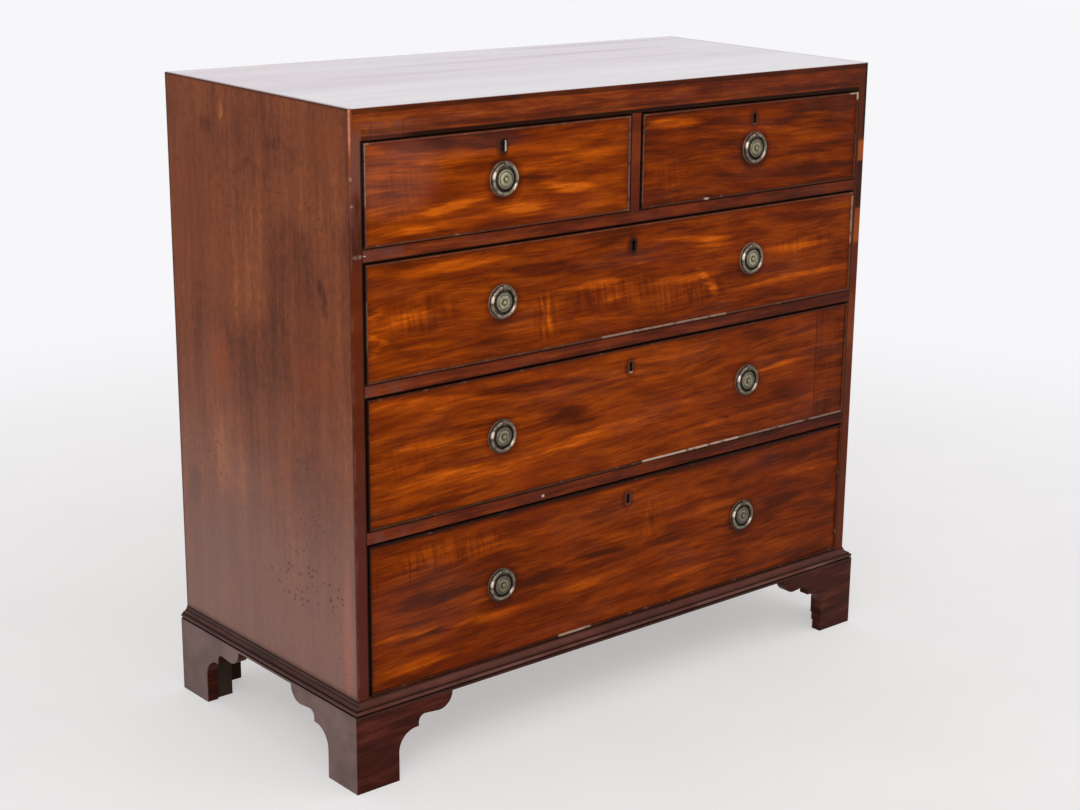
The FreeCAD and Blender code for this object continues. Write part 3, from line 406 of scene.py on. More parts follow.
# What each drawer front's veneer shows. Flames are lighter or darker places that run along the
# grain: x, z, half length, half height, strength, and tilt where there is any. Curls are places
# with ripples across the grain, and hazes are places where the polish has gone cloudy: the same
# without a tilt. Steps are slow changes to the right: x from, x to, and how much lighter.
veneers = {
    "short_left": {
        "seed": 1.3,
        "base": 0.53,
        "slope": 0.01,
        "steps": [(-0.16, -0.06, -0.05)],
        "flames": [
            (-0.345, 0.85, 0.065, 0.01, 0.3, 0.05), (-0.4, 0.826, 0.09, 0.009, 0.14),
            (-0.215, 0.835, 0.065, 0.01, 0.3, -0.05), (-0.118, 0.857, 0.07, 0.01, 0.3, -0.06),
            (-0.09, 0.904, 0.09, 0.01, 0.2), (-0.385, 0.912, 0.05, 0.006, 0.14),
            (-0.07, 0.826, 0.06, 0.008, 0.12), (-0.31, 0.94, 0.18, 0.016, -0.3),
            (-0.45, 0.87, 0.04, 0.04, -0.1), (-0.29, 0.908, 0.05, 0.016, -0.14),
            (-0.195, 0.876, 0.035, 0.012, -0.24), (-0.07, 0.876, 0.07, 0.006, -0.16),
            (-0.27, 0.818, 0.14, 0.005, -0.18),
        ],
        "curls": [(-0.44, 0.88, 0.06, 0.05, 0.12)],
        "hazes": [(-0.45, 0.9, 0.1, 0.07, 0.5), (-0.34, 0.935, 0.16, 0.022, 0.24)],
    },
    "short_right": {
        "seed": 5.1,
        "base": 0.25,
        "slope": -0.02,
        "steps": [],
        "flames": [
            (0.085, 0.934, 0.075, 0.013, 0.32, -0.03), (0.32, 0.902, 0.17, 0.009, 0.22, -0.09),
            (0.41, 0.884, 0.08, 0.008, 0.14, -0.05), (0.16, 0.874, 0.07, 0.01, 0.13),
            (0.34, 0.855, 0.1, 0.01, 0.12), (0.08, 0.855, 0.08, 0.03, 0.12),
            (0.43, 0.938, 0.11, 0.014, -0.24), (0.4, 0.832, 0.12, 0.014, -0.2),
            (0.19, 0.93, 0.04, 0.014, -0.14),
        ],
        "curls": [(0.07, 0.86, 0.06, 0.04, 0.14)],
        "hazes": [(0.46, 0.93, 0.05, 0.03, 0.08)],
    },
    "upper_long": {
        "seed": 8.7,
        "base": 0.44,
        "slope": 0,
        "steps": [(-0.22, -0.02, -0.1)],
        "flames": [
            (-0.345, 0.766, 0.13, 0.011, 0.24), (-0.43, 0.697, 0.065, 0.013, 0.27),
            (-0.38, 0.657, 0.05, 0.01, 0.16), (-0.485, 0.69, 0.014, 0.055, 0.2),
            (-0.32, 0.72, 0.07, 0.008, 0.12), (-0.06, 0.702, 0.06, 0.009, 0.34, 0.02),
            (-0.03, 0.678, 0.04, 0.007, 0.26), (0.13, 0.748, 0.11, 0.007, 0.34, -0.08),
            (0.19, 0.734, 0.07, 0.005, 0.22, -0.04), (0.11, 0.688, 0.1, 0.01, 0.24),
            (0.165, 0.672, 0.02, 0.016, 0.26, -0.9), (0.37, 0.706, 0.11, 0.01, 0.24),
            (0.33, 0.655, 0.16, 0.008, 0.26, 0.03), (-0.12, 0.648, 0.12, 0.01, 0.14),
            (-0.17, 0.738, 0.09, 0.014, -0.27, -0.04), (0.38, 0.755, 0.12, 0.014, -0.24, -0.04),
            (-0.45, 0.775, 0.05, 0.008, -0.16), (-0.27, 0.642, 0.1, 0.01, -0.18),
            (-0.03, 0.765, 0.06, 0.01, -0.1), (0.25, 0.63, 0.14, 0.006, -0.14),
        ],
        "curls": [
            (-0.175, 0.665, 0.03, 0.045, 0.5), (-0.04, 0.682, 0.13, 0.03, 0.26),
            (0.12, 0.662, 0.12, 0.03, 0.22), (-0.4, 0.7, 0.08, 0.04, 0.22),
            (0.38, 0.71, 0.1, 0.02, 0.18),
        ],
        "hazes": [(-0.02, 0.735, 0.12, 0.02, 0.08)],
    },
    "middle_long": {
        "seed": 12.2,
        "base": 0.46,
        "slope": 0.015,
        "steps": [(0, 0.3, -0.13)],
        "flames": [
            (-0.4, 0.568, 0.13, 0.014, 0.24, -0.06), (-0.37, 0.452, 0.14, 0.014, 0.24, -0.03),
            (-0.14, 0.458, 0.13, 0.012, 0.25, 0.06), (-0.03, 0.477, 0.06, 0.008, 0.2, 0.05),
            (0.335, 0.508, 0.09, 0.006, 0.3, 0.06), (0.26, 0.494, 0.06, 0.004, 0.16, 0.06),
            (0.11, 0.56, 0.12, 0.018, 0.12, -0.03), (0.05, 0.478, 0.16, 0.007, 0.14, 0.1),
            (-0.26, 0.44, 0.1, 0.008, 0.12, 0.04), (-0.4, 0.505, 0.09, 0.01, 0.12),
            (0.14, 0.43, 0.1, 0.008, 0.12, 0.08), (-0.2, 0.562, 0.16, 0.011, -0.26, -0.09),
            (-0.13, 0.502, 0.07, 0.022, -0.27, -0.1), (-0.3, 0.52, 0.08, 0.008, -0.16, -0.04),
            (-0.4, 0.413, 0.1, 0.008, -0.14), (0.33, 0.45, 0.14, 0.014, -0.12, 0.05),
            (0.27, 0.57, 0.12, 0.01, -0.13), (0.209, 0.437, 0.008, 0.003, -0.8),
        ],
        "curls": [(-0.42, 0.49, 0.07, 0.04, 0.1)],
        "hazes": [(-0.12, 0.545, 0.16, 0.03, 0.07), (0.4, 0.56, 0.08, 0.02, 0.06)],
        "joint": 0.424,  # past here the veneer is another piece, with its grain upright
    },
    "lower_long": {
        "seed": 17.9,
        "base": 0.31,
        "slope": 0.02,
        "steps": [(-0.3, -0.1, 0.06), (0.12, 0.34, -0.13)],
        "flames": [
            (-0.43, 0.222, 0.07, 0.009, 0.2), (-0.28, 0.213, 0.09, 0.01, 0.22, 0.05),
            (-0.06, 0.222, 0.09, 0.012, 0.2, 0.06), (-0.42, 0.169, 0.09, 0.011, 0.24, 0.04),
            (0.11, 0.184, 0.1, 0.01, 0.15, 0.05), (0.15, 0.288, 0.08, 0.009, 0.13),
            (0.41, 0.312, 0.09, 0.012, 0.15, 0.05), (0.34, 0.19, 0.12, 0.012, 0.12, 0.04),
            (-0.36, 0.335, 0.13, 0.016, 0.14), (-0.39, 0.27, 0.12, 0.014, -0.22, -0.03),
            (-0.18, 0.252, 0.07, 0.012, -0.2, 0.04), (-0.05, 0.262, 0.08, 0.008, -0.2),
            (0.115, 0.258, 0.08, 0.012, -0.2), (0.355, 0.266, 0.06, 0.012, -0.2),
            (-0.37, 0.214, 0.03, 0.008, -0.24), (-0.22, 0.165, 0.1, 0.008, -0.14, 0.05),
            # The last flame is painted shade: it darkens the top of the front so that the gap above
            # looks wider.
            (0.38, 0.34, 0.1, 0.012, -0.12), (0, 0.37, 0.75, 0.006, -0.28),
        ],
        "curls": [(-0.35, 0.335, 0.13, 0.03, 0.26), (0.05, 0.3, 0.03, 0.05, 0.2)],
        "hazes": [(-0.05, 0.33, 0.14, 0.03, 0.06), (-0.4, 0.26, 0.13, 0.08, 0.16)],
        "patch": (-0.484, -0.426, 0.298, 0.337, 0.0012),
    },
}
veneerLook = {
    "sway": 0.03, "wedge": 0.022, "patchSize": (10, 62, 1), "patches": 0.38,
    "streakSize": (9, 230, 3), "streaks": 0.17, "lines": 0.16,
}
veneerStops = [
    (0, (66, 21, 5)), (0.25, (98, 33, 2)), (0.5, (124, 49, 3)), (0.75, (154, 65, 4)),
    (1, (190, 90, 11)),
]
veneerThickness = 0.0012
flameStrength = 1.45
# A dark halo round each pull: dirt, and painted shadow, set low and to the right.
pullDirtAndShadow = (0.002, -0.003, 0.04, 0.041)  # right of a pull's middle, above it, and its half sizes
keyholeDrop = {"short": 0.026, "long": 0.033}  # below the top of the front


def ringNames(drawer):
    ends = [""] if drawer in shortDrawers else ["_left", "_right"]
    return [f"{drawer}_ring{end}" for end in ends]


def pullMiddles(drawer):
    # The middle of each pull's plate, as x and z.
    low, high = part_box(f"{drawer}_pulls")
    half = (high.z - low.z) / 2
    middles = {round(low.x + half, 5), round(high.x - half, 5)}
    return [(x, low.z + half) for x in sorted(middles)]


def keyholeMiddle(drawer):
    # The keyhole is straight below the bolt.
    low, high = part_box(f"{drawer}_bolt")
    drop = keyholeDrop["short" if drawer in shortDrawers else "long"]
    return (low.x + high.x) / 2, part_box(f"{drawer}_front")[1].z - drop


def frontFinish(drawer):
    # Figured veneer under a worn polish, dark round the keyhole and round the pulls with dirt and a
    # painted shadow below them, and along the edges.
    own = veneers[drawer]
    seed = own["seed"]
    finish = polished(f"{drawer}_veneer", 0.16)
    x, y, z = finish.axes
    light, pores, streaks = figure(finish, "x", {**veneerLook, **own}, seed)
    strands = finish.noise((x * 5, seed, (z - x * own["slope"]) * 150))
    drift = finish.noise((x * 4, seed + 5, z * 14))
    across = x + (strands - 0.5) * 0.12
    up = z + (drift - 0.5) * 0.016
    for middleX, middleZ, halfLength, halfHeight, strength, *tilt in own["flames"]:
        leaning = up - (x - middleX) * tilt[0] if tilt else up
        flame = finish.spot(across, leaning, middleX, middleZ, halfLength, halfHeight)
        light += flame * strength * flameStrength
    ripples = finish.noise(((x + z * 0.15) * 125, z * 16, seed)).rising(0.35, 0.65) - 0.45
    light += finish.spots(x, up, own["curls"]) * ripples
    light += sum(x.rising(fromX, toX) * lighter for fromX, toX, lighter in own["steps"])
    if "joint" in own:
        upright = finish.noise((x * 190, seed, z * 9))
        beyond = x.rising(own["joint"], own["joint"] + 0.0004)
        light += beyond * ((upright - 0.5) * 0.35 - 0.12)
        light -= abs(x - own["joint"]).rising(0.0012, 0.0004) * 0.5
    if "patch" in own:
        light -= patchOutline(x, z, own["patch"]) * 0.25
    low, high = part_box(f"{drawer}_front")
    inset = (x - low.x).least(high.x - x).least(z - low.z).least(high.z - z)
    light -= inset.rising(0.016, 0.004) * 0.08
    keyX, keyZ = keyholeMiddle(drawer)
    # Dirt round the keyhole; round each pull, dirt with painted shadow.
    dirtAndShade = finish.spot(x, z, keyX - 0.002, keyZ, 0.015, 0.02) * 0.9
    for pullX, pullZ in pullMiddles(drawer):
        dirtAndShade += finish.spot(x - pullX, z - pullZ, *pullDirtAndShadow) * 0.6
    veneer = finish.ramp(light - dirtAndShade * 0.5, veneerStops)
    redden = finish.blotches(9, 3).rising(0.45, 0.75) * 0.35
    veneer = finish.mix(redden, veneer, (112, 34, 8))
    veneer = finish.mix(pores * 0.35, veneer, darkest)
    core = finish.mix(streaks, (96, 58, 36), (124, 82, 54))
    isCore = y.rising(frontPlane + 0.4 * veneerThickness, frontPlane + veneerThickness)
    colour = finish.mix(isCore, veneer, core)
    worn = finish.blotches(14).rising(0.35, 0.7)
    rough = 0.3 + worn * 0.14 + isCore * 0.3
    haze = finish.noise((x * 6, seed, z * 22), 3)
    coat = haze.rising(0.54, 0.68) * 0.07 + finish.spots(x, z, own["hazes"])
    coat *= 1 - isCore
    waves = finish.noise((x * 5, y, z * 9))
    ground = finish.bump(pores, 0.12, 0.0003)
    normal = finish.bump(waves + ripples * 0.03, 0.2, 0.004, ground)
    return finish.give(colour, rough, normal, coat)


sideLook = {
    "sway": 0.02, "patchSize": (3, 34, 1), "patches": 0.26,
    "streakSize": (9, 170, 3), "streaks": 0.13, "base": 0.5,
}
sideStops = [(0, (66, 30, 18)), (0.35, (102, 50, 28)), (0.65, (122, 64, 36)), (1, (154, 88, 48))]
# Places on the sides: y, z, half width, half height and, but for the worm holes, strength.
sideClouds = [
    (-0.092, 0.76, 0.065, 0.09, -0.24), (-0.075, 0.62, 0.07, 0.105, -0.12),
    (0.03, 0.58, 0.095, 0.1, -0.2), (-0.163, 0.73, 0.012, 0.025, -0.4), (0.13, 0.93, 0.02, 0.02, -0.24),
    (0.02, 0.885, 0.09, 0.008, -0.14), (-0.07, 0.92, 0.06, 0.014, -0.16),
    (-0.13, 0.42, 0.06, 0.11, -0.16), (0.21, 0.36, 0.03, 0.05, -0.22), (0.1, 0.44, 0.08, 0.09, 0.22),
    (0.05, 0.72, 0.12, 0.1, 0.1), (0.096, 0.965, 0.008, 0.02, 0.45), (-0.2, 0.89, 0.02, 0.07, 0.12),
]
sideWarmth = [
    (0.112, 0.576, 0.036, 0.062, 0.75), (-0.14, 0.6, 0.07, 0.05, 0.45), (0.17, 0.8, 0.1, 0.16, 0.35),
    (-0.2, 0.205, 0.022, 0.075, 0.3), (-0.19, 0.94, 0.05, 0.05, 0.35),
]
sideSpecks = [(-0.115, 0.28, 0.13, 0.04), (-0.11, 0.469, 0.03, 0.012)]
stileStops = [(0, (48, 15, 8)), (0.45, (86, 30, 12)), (1, (142, 68, 24))]
# Wear on the stiles, as z from, z to, how much lighter, and how softly it fades out.
stileWear = {
    "left": [
        (0.89, 0.99, 0.2, 0.03), (0.8, 0.88, -0.14, 0.02),
        (0.6, 0.77, 0.08, 0.03), (0.15, 0.42, -0.14, 0.08),
    ],
    "right": [(0.838, 0.87, 0.65, 0.007), (0.757, 0.83, -0.65, 0.006), (0.7, 0.752, 0.5, 0.01)],
}
# Chips: x, z, half width, half height and strength.
stileChips = [
    (-0.508, 0.797, 0.011, 0.004, 1), (-0.518, 0.905, 0.003, 0.004, 1),
    (-0.517, 0.868, 0.003, 0.003, 1),
]


def stileWood(finish, clouds):
    # The sides' front edges: the left one hazy near the top, purple near the floor and with a painted
    # highlight on its arris, the right one patched light and dark, both with painted shade in the gaps
    # beside the drawers. Gives the wood, and where fingers rub it.
    x, y, z = finish.axes
    light, _, _ = figure(finish, "z", {**sideLook, "patches": 0.34, "base": 0.44}, seed=9)
    isLeft = x.rising(0.1, -0.1)
    isRight = (1 - isLeft) * x.rising(0.5035, 0.508)
    ragged = z + (clouds - 0.5) * 0.03
    for side, chosen in (("left", isLeft), ("right", isRight)):
        for bottom, top, strength, soft in stileWear[side]:
            light += ragged.within(bottom, top, soft) * chosen * strength
    stile = finish.ramp(light, stileStops)
    mauve = finish.noise((x * 60, y, z * 14), 4, 0.6)
    hazy = mauve.rising(0.36, 0.62) * z.rising(0.74, 0.9) * z.rising(0.985, 0.95) * isLeft
    stile = finish.mix(hazy * 0.8, stile, (100, 62, 57))
    chips = finish.spots(x, z, stileChips) * mauve.rising(0.3, 0.5)
    stile = finish.mix(chips * 0.7, stile, (140, 122, 106))
    purple = z.rising(0.56, 0.4) * isLeft * (0.5 + mauve * 0.5)
    stile = finish.mix(purple, stile, (76, 32, 30))
    shaded = x.rising(caseHalf - 0.008, caseHalf - 0.004) * z.rising(0.872, 0.882)
    stile = finish.mix(shaded * 0.85, stile, grimeAndShade)
    # A painted highlight along the left arris, where it is also worn pale.
    edge = abs(x).rising(caseHalf - 0.0044, caseHalf - 0.0014)
    rub = finish.noise((x, y, z * 45), 3).rising(0.4, 0.65)
    wearAndHighlight = edge * rub * isLeft * (0.08 + z.rising(0.93, 0.96) * 0.8)
    stile = finish.mix(wearAndHighlight, stile, (192, 128, 108))
    # Painted shade in the gaps beside the drawers.
    gapLine = abs(abs(x) - openingHalf).rising(0.0028, 0.0014)
    gapLine *= z.within(rowFloors[0], rowCeilings[-1], 0.002)
    return finish.mix(gapLine * 0.9, stile, grimeAndShade), rub


def sideFinish():
    # Plain upright grain outside, paler towards the floor with fading and a painted reflection of the
    # floor, cloudy, and raw wood inside.
    finish = polished("sidePolish", 0.34, 0.14)
    x, y, z = finish.axes
    light, pores, streaks = figure(finish, "z", sideLook, seed=3)
    clouds = finish.blotches(9, 5, 0.62)
    shiftedY = y + (clouds - 0.5) * 0.09
    shiftedZ = z + (clouds - 0.5) * 0.12
    mottle = finish.noise((x * 75, y * 105, z * 75), 3, 0.6)
    light = light + (clouds.rising(0.3, 0.7) - 0.5) * 0.22 + (mottle.rising(0.3, 0.7) - 0.5) * 0.2
    light -= y.rising(frontPlane + 0.035, frontPlane + 0.005) * z.rising(0.5, 0.68) * 0.14
    light += finish.spots(shiftedY, shiftedZ, sideClouds)
    wood = finish.ramp(light, sideStops)
    unevenly = finish.blotches(5, 3)
    # Paler towards the floor: fading, and a painted reflection of the pale floor.
    fadeAndSheen = (z + (unevenly - 0.5) * 0.3).rising(0.62, 0.14) * 0.55
    wood = finish.mix(fadeAndSheen, wood, (130, 102, 96))
    warm = finish.spots(shiftedY, shiftedZ, sideWarmth) * 0.6
    wood = finish.mix(warm, wood, (142, 66, 30))
    rosy = finish.spot(shiftedY * 0.2 + y * 0.8, shiftedZ, -0.212, 0.24, 0.016, 0.14)
    wood = finish.mix(rosy * 0.5, wood, (160, 96, 88))
    scratches = finish.noise((x, y * 22, z * 420)).rising(0.66, 0.74)
    scratches = scratches * z.rising(0.62, 0.9) * clouds.rising(0.45, 0.6)
    cells = {"Vector": finish.vector(x, y * 0.7, z), "Scale": 110}
    holes = finish.add("ShaderNodeTexVoronoi", values=cells).rising(0.3, 0.16)
    eaten = clouds.rising(0.56, 0.66) * 0.7
    for row in sideSpecks:
        eaten = eaten.most(finish.spot(y, z, *row).rising(0, 0.3))
    marks = (holes * eaten).most(scratches * 0.8)
    wood = finish.mix(marks * 0.75, wood, (46, 26, 20))
    wood = finish.mix(pores * 0.3, wood, (52, 26, 18))
    # Darker along the front, top and back edges and just above the moulding: painted shade.
    corner = y.rising(frontPlane + 0.0045, frontPlane + 0.0028) * z.rising(0.88, 0.84)
    corner = corner.most(z.rising(caseTop - 0.0045, caseTop - 0.0015))
    corner = corner.most(y.rising(backPlane - 0.006, backPlane - 0.002) * 0.8)
    corner = corner.most(z.rising(mouldingTop + 0.009, mouldingTop) * 0.7)
    wood = finish.mix(corner * 0.75, wood, (42, 21, 16))
    stile, rub = stileWood(finish, clouds)
    isStile = y.rising(frontPlane + 0.0016, frontPlane + 0.0006)
    isInside = abs(x).rising(caseHalf - 0.008, caseHalf - 0.012) * (1 - isStile)
    isTop = z.rising(caseTop - 0.0008, caseTop - 0.0003)
    raw = finish.mix(streaks, (120, 84, 58), (150, 110, 78))
    colour = finish.mix(isInside, finish.mix(isStile, wood, stile), raw)
    colour = finish.mix(isTop, colour, (92, 44, 26))
    rough = 0.42 + clouds * 0.1 - isStile * 0.08 + isInside * 0.2 - isTop * 0.2
    haze = z.rising(0.68, 0.2) * 0.34 * (1 - isStile) * (1 - isInside)
    coat = haze + isTop * 0.9 + isStile * rub * 0.06
    normal = finish.bump(pores + marks, 0.12, 0.0004)
    normal = finish.bump(finish.noise((x, y * 8, z * 2)), 0.15, 0.004, normal)
    return finish.give(colour, rough, normal, coat)


railStops = [(0, (46, 14, 9)), (0.35, (82, 29, 14)), (0.65, (112, 44, 15)), (1, (150, 74, 24))]
railLook = {**veneerLook, "wedge": 0.008, "patches": 0.4, "streaks": 0.16, "base": 0.45}
bandFade = 0.24  # how much darker the frieze gets per metre towards the right
topRailPatch = (-0.484, -0.43, 0.955, 0.985, 0.0012)
# Chips: x, z, half width, half height and strength.
railChips = [(-0.176, 0.384, 0.004, 0.003, 0.9), (-0.497, 0.797, 0.003, 0.0012, 0.9)]


def railFinish(name, base, seed, way="x", patch=None, chips=()):
    # Cross pieces of the front: painted shade along each drawer's opening, raw wood further in.
    finish = polished(name, 0.24)
    x, y, z = finish.axes
    light, pores, streaks = figure(finish, way, {**railLook, "base": base}, seed)
    light = light - x * bandFade - z.rising(0.45, 0.35) * 0.12
    if patch:
        light -= patchOutline(x, z, patch) * 0.3
    wood = finish.ramp(light, railStops)
    wood = finish.mix(pores * 0.35, wood, darkest)
    mauve = finish.blotches(13).rising(0.48, 0.7)
    wood = finish.mix(mauve * 0.32, wood, (90, 46, 38))
    leftEnd = x.rising(-0.4, -0.45)
    cloudy = finish.blotches(34, 4, 0.6).rising(0.38, 0.58)
    wood = finish.mix(cloudy * leftEnd * 0.6, wood, (98, 56, 50))
    waver = finish.noise((x * 30, y, z * 30), 3) - 0.5
    # Painted shade in the gaps round the openings, widest above the short drawers, and under the top's
    # front edge.
    if way == "z":
        line = (abs(x + dividerHalf) + waver * 0.0016).rising(0.0026, 0.0012) * 0.85
    else:
        line = (nearest(z, rowCeilings[1:-1]) + waver * 0.0016).rising(0.0026, 0.0012) * 0.85
        under = (nearest(z, rowFloors) + waver * 0.0016).rising(0.0026, 0.0012) * 0.35
        friezeLine = (z + waver * 0.003).within(0.965, 0.9695, 0.002) * 0.35
        black = (z + waver * 0.001).within(0.956, 0.96, 0.0022) * (0.95 - leftEnd * 0.4)
        line = line.most(under).most(friezeLine + z.rising(0.989, 0.994) * 0.4).most(black)
    wood = finish.mix(line, wood, grimeAndShade)
    if chips:
        wood = finish.mix(finish.spots(x, z, chips), wood, (196, 166, 150))
    isInner = y.rising(frontPlane + 0.004, frontPlane + 0.008)
    raw = finish.mix(streaks, (112, 74, 48), (142, 100, 68))
    colour = finish.mix(isInner, wood, raw)
    worn = finish.blotches(16).rising(0.35, 0.7)
    rough = 0.32 + worn * 0.14 + isInner * 0.3
    coat = (0.02 + worn * 0.05) * (1 - isInner) * (1 - line)
    return finish.give(colour, rough, finish.bump(pores, 0.12, 0.0003), coat)


# x, y, half length, half width, and how much of the polish is gone
topWear = [
    (0.3, 0.215, 0.24, 0.022, 0.26), (0.24, 0.125, 0.22, 0.018, 0.3), (-0.04, 0.112, 0.24, 0.014, 0.26),
    (-0.22, 0.035, 0.2, 0.02, 0.18), (0.16, 0.025, 0.3, 0.016, 0.18), (0.4, -0.01, 0.06, 0.008, 0.3),
]


def topFinish():
    # A glossy flat painted pale with bloom and a painted reflection of the bright backdrop, worn in
    # faint streaks along the grain; its front edge matches the top rail.
    finish = polished("topPolish", 0.14, 0.1)
    x, y, z = finish.axes
    light, pores, _ = figure(finish, "x", {**railLook, "base": 0.54}, 21)
    wood = finish.ramp(light - x * bandFade, railStops)
    wood = finish.mix(pores * 0.35, wood, darkest)
    wear = finish.noise((x * 1.6, y * 26, 2), 4, 0.6)
    gone = wear.rising(0.42, 0.72) * 0.08 + finish.spots(x + (wear - 0.5) * 0.5, y, topWear)
    isFlat = z.rising(caseTop - 0.0008, caseTop - 0.0003)
    bloomAndSheen = finish.noise((x * 2.2, y * 16, 7), 4, 0.6)
    bloomAndSheen = bloomAndSheen.rising(0.3, 0.7) * 0.5 + y.rising(-0.02, -0.1) * 0.5
    flat = finish.mix(bloomAndSheen, (154, 134, 141), (186, 184, 186))
    wood = finish.mix(isFlat * 0.85, wood, flat)
    # Painted shade in a dark line under the front arris, and on the arris itself.
    lip = z.within(caseTop - 0.007, caseTop - 0.0024, 0.0025) * (1 - isFlat)
    colour = finish.mix(lip * 0.6, wood, grimeAndShade)
    arris = z.rising(caseTop - 0.0022, caseTop - 0.0012) * (1 - isFlat)
    colour = finish.mix(arris * 0.6, colour, (74, 34, 26))
    rough = 0.24 + wear * 0.16
    coat = isFlat * (1 - gone) + (1 - isFlat) * 0.02
    return finish.give(colour, rough, finish.bump(pores, 0.06, 0.0003), coat)


baseStops = [(0, (32, 8, 7)), (0.45, (59, 21, 17)), (1, (98, 46, 33))]
# Dark lines along the moulding: painted shade, with grime, in its quirks, on the fascia under its bead
# and
# at its top. Each line: bottom, top, and how dark in front and at the sides.
mouldingShadeLines = [
    (base - 0.001, base + 0.0044, 0.55, 0),
    (base + 0.004, base + 0.0056, 0.75, 0.95),
    (base + 0.0113, base + 0.0131, 0.75, 0.95),
    (base + 0.0162, base + 0.0178, 0, 0.8),
    (mouldingTop - 0.0016, mouldingTop + 0.001, 0.6, 0.9),
]


def baseFinish(name, seed, outside, frontBloomAndSheen, sideBloomAndSheen, quirks=()):
    # Dark old mahogany, cloudy where it has lost its polish, and painted paler with a reflection of the
    # floor and sky, most on the sides; a side from outside outwards.
    finish = polished(name, 0.4, 0.1)
    x, y, z = finish.axes
    look = {**railLook, "base": 0.42, "patches": 0.5}
    light, pores, _ = figure(finish, "round", look, seed)
    wood = finish.mix(pores * 0.35, finish.ramp(light, baseStops), (28, 12, 9))
    isSide = abs(x).rising(outside - 0.0012, outside - 0.0002)
    isSide *= y.rising(frontPlane - 0.0118, frontPlane - 0.0105)
    dust = finish.blotches(18).rising(0.3, 0.7)
    haze = isSide * sideBloomAndSheen * (1 - y.rising(0, 0.2) * 0.14) + (1 - isSide) * frontBloomAndSheen
    if quirks:
        # On the sides the fascia under the bead is painted pale with that reflection as well.
        haze = haze.most(isSide * z.rising(base + 0.0046, base + 0.0038) * 0.85)
        # A painted highlight along the lower bead in front.
        bead = z.within(base + 0.0066, base + 0.0104, 0.0015) * (1 - isSide)
        haze += bead * dust * 0.35
    paleSide = finish.mix(dust, (103, 82, 77), (114, 92, 87))
    pale = finish.mix(isSide, (112, 76, 69), paleSide)
    wood = finish.mix(haze * (0.7 + dust * 0.4), wood, pale)
    for bottom, top, inFront, aside in quirks:
        line = z.within(bottom, top, 0.0005) * (isSide * (aside - inFront) + inFront)
        wood = finish.mix(line, wood, grimeAndShade)
    # Painted shade on the inner faces, under the chest.
    isHidden = abs(x).rising(baseOutside - 0.0185, baseOutside - 0.0195)
    isHidden *= y.rising(frontPlane + 0.0065, frontPlane + 0.0075)
    wood = finish.mix(isHidden * 0.7, wood, (26, 15, 11))
    rough = 0.34 + dust * 0.16
    coat = 0.02 + dust * 0.03 + isSide * 0.32 * sideBloomAndSheen
    return finish.give(wood, rough, finish.bump(pores, 0.15, 0.0003), coat)


# Beads: left, right, top and bottom of each drawer, each side lighter or darker with painted highlight
# and shade.
beadTones = {
    "short_left": ((92, 58, 50), (80, 44, 34), (108, 56, 40), (84, 42, 28)),
    "short_right": ((72, 33, 20), (84, 43, 34), (92, 44, 30), (70, 34, 21)),
    "upper_long": ((62, 33, 24), (100, 58, 36), (104, 52, 28), (84, 48, 34)),
    "middle_long": ((34, 13, 7), (84, 46, 28), (78, 32, 16), (66, 38, 26)),
    "lower_long": ((50, 24, 10), (76, 31, 15), (30, 10, 6), (56, 25, 17)),
}
# Where beads are pale, from wear in some places and as painted highlight in others: x from, x to, z
# from, z to and strength.
beadWearAndHighlights = {
    "short_left": [(-0.02, -0.01, 0.81, 0.95, 0.12), (-0.5, -0.49, 0.87, 0.953, 0.3)],
    "short_right": [
        (0.48, 0.5, 0.944, 0.956, 0.8), (0.148, 0.152, 0.804, 0.812, 0.8),
        (0.01, 0.02, 0.82, 0.95, 0.14),
    ],
    "upper_long": [
        (-0.06, 0.2, 0.611, 0.619, 0.35), (0.488, 0.5, 0.7, 0.775, 0.4),
        (-0.5, -0.49, 0.66, 0.73, 0.12),
    ],
    "middle_long": [(0.03, 0.24, 0.394, 0.402, 0.75), (0.24, 0.49, 0.394, 0.402, 0.3)],
    "lower_long": [(-0.14, -0.08, 0.14, 0.148, 0.6)],
}
beadWidth = 0.0036


def beadFinish(drawer):
    # Stained like the front, each side in a tone with painted shade and highlight, pale in places from
    # wear and painted highlight, with painted shade down in the gap.
    finish = polished(f"{drawer}_bead_polish", 0.22, coat=0.03)
    x, y, z = finish.axes
    low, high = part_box(f"{drawer}_front")
    left, right, top, bottom = beadTones[drawer]
    sideInset = (x - low.x).least(high.x - x)
    endInset = (z - low.z).least(high.z - z)
    upright = finish.mix(x.rising(low.x + 0.01, high.x - 0.01), left, right)
    level = finish.mix(z.rising(low.z + 0.01, high.z - 0.01), bottom, top)
    colour = finish.mix((sideInset - endInset).rising(0.0003, -0.0003), level, upright)
    streaks = finish.noise((x * 40, y, z * 40), 3)
    colour = finish.mix(streaks.rising(0.45, 0.7) * 0.4, colour, darkest)
    rub = finish.noise((x * 60, y, z * 60), 4, 0.65)
    # Pale places: wear, and the painted highlights of the table above.
    worn = rub.rising(0.58, 0.72) * 0.16
    for fromX, toX, fromZ, toZ, strength in beadWearAndHighlights[drawer]:
        place = x.within(fromX, toX, 0.006) * z.within(fromZ, toZ, 0.006)
        worn = worn.most(place * rub.rising(0.3, 0.5) * strength)
    colour = finish.mix(worn, colour, (186, 160, 138))
    # Painted shade down in the gap along the outer edge, lighter on the bottom bead, which takes the
    # light.
    dirtAndShade = sideInset.least(endInset).rising(0.35 * beadWidth, 0.15 * beadWidth)
    dirtAndShade *= 0.9 - (z - low.z).rising(0.003, 0.001) * 0.5
    colour = finish.mix(dirtAndShade, colour, grimeAndShade)
    rough = 0.3 + worn * 0.2 + dirtAndShade * 0.3
    return finish.give(colour, rough, finish.bump(rub, 0.1, 0.0006))


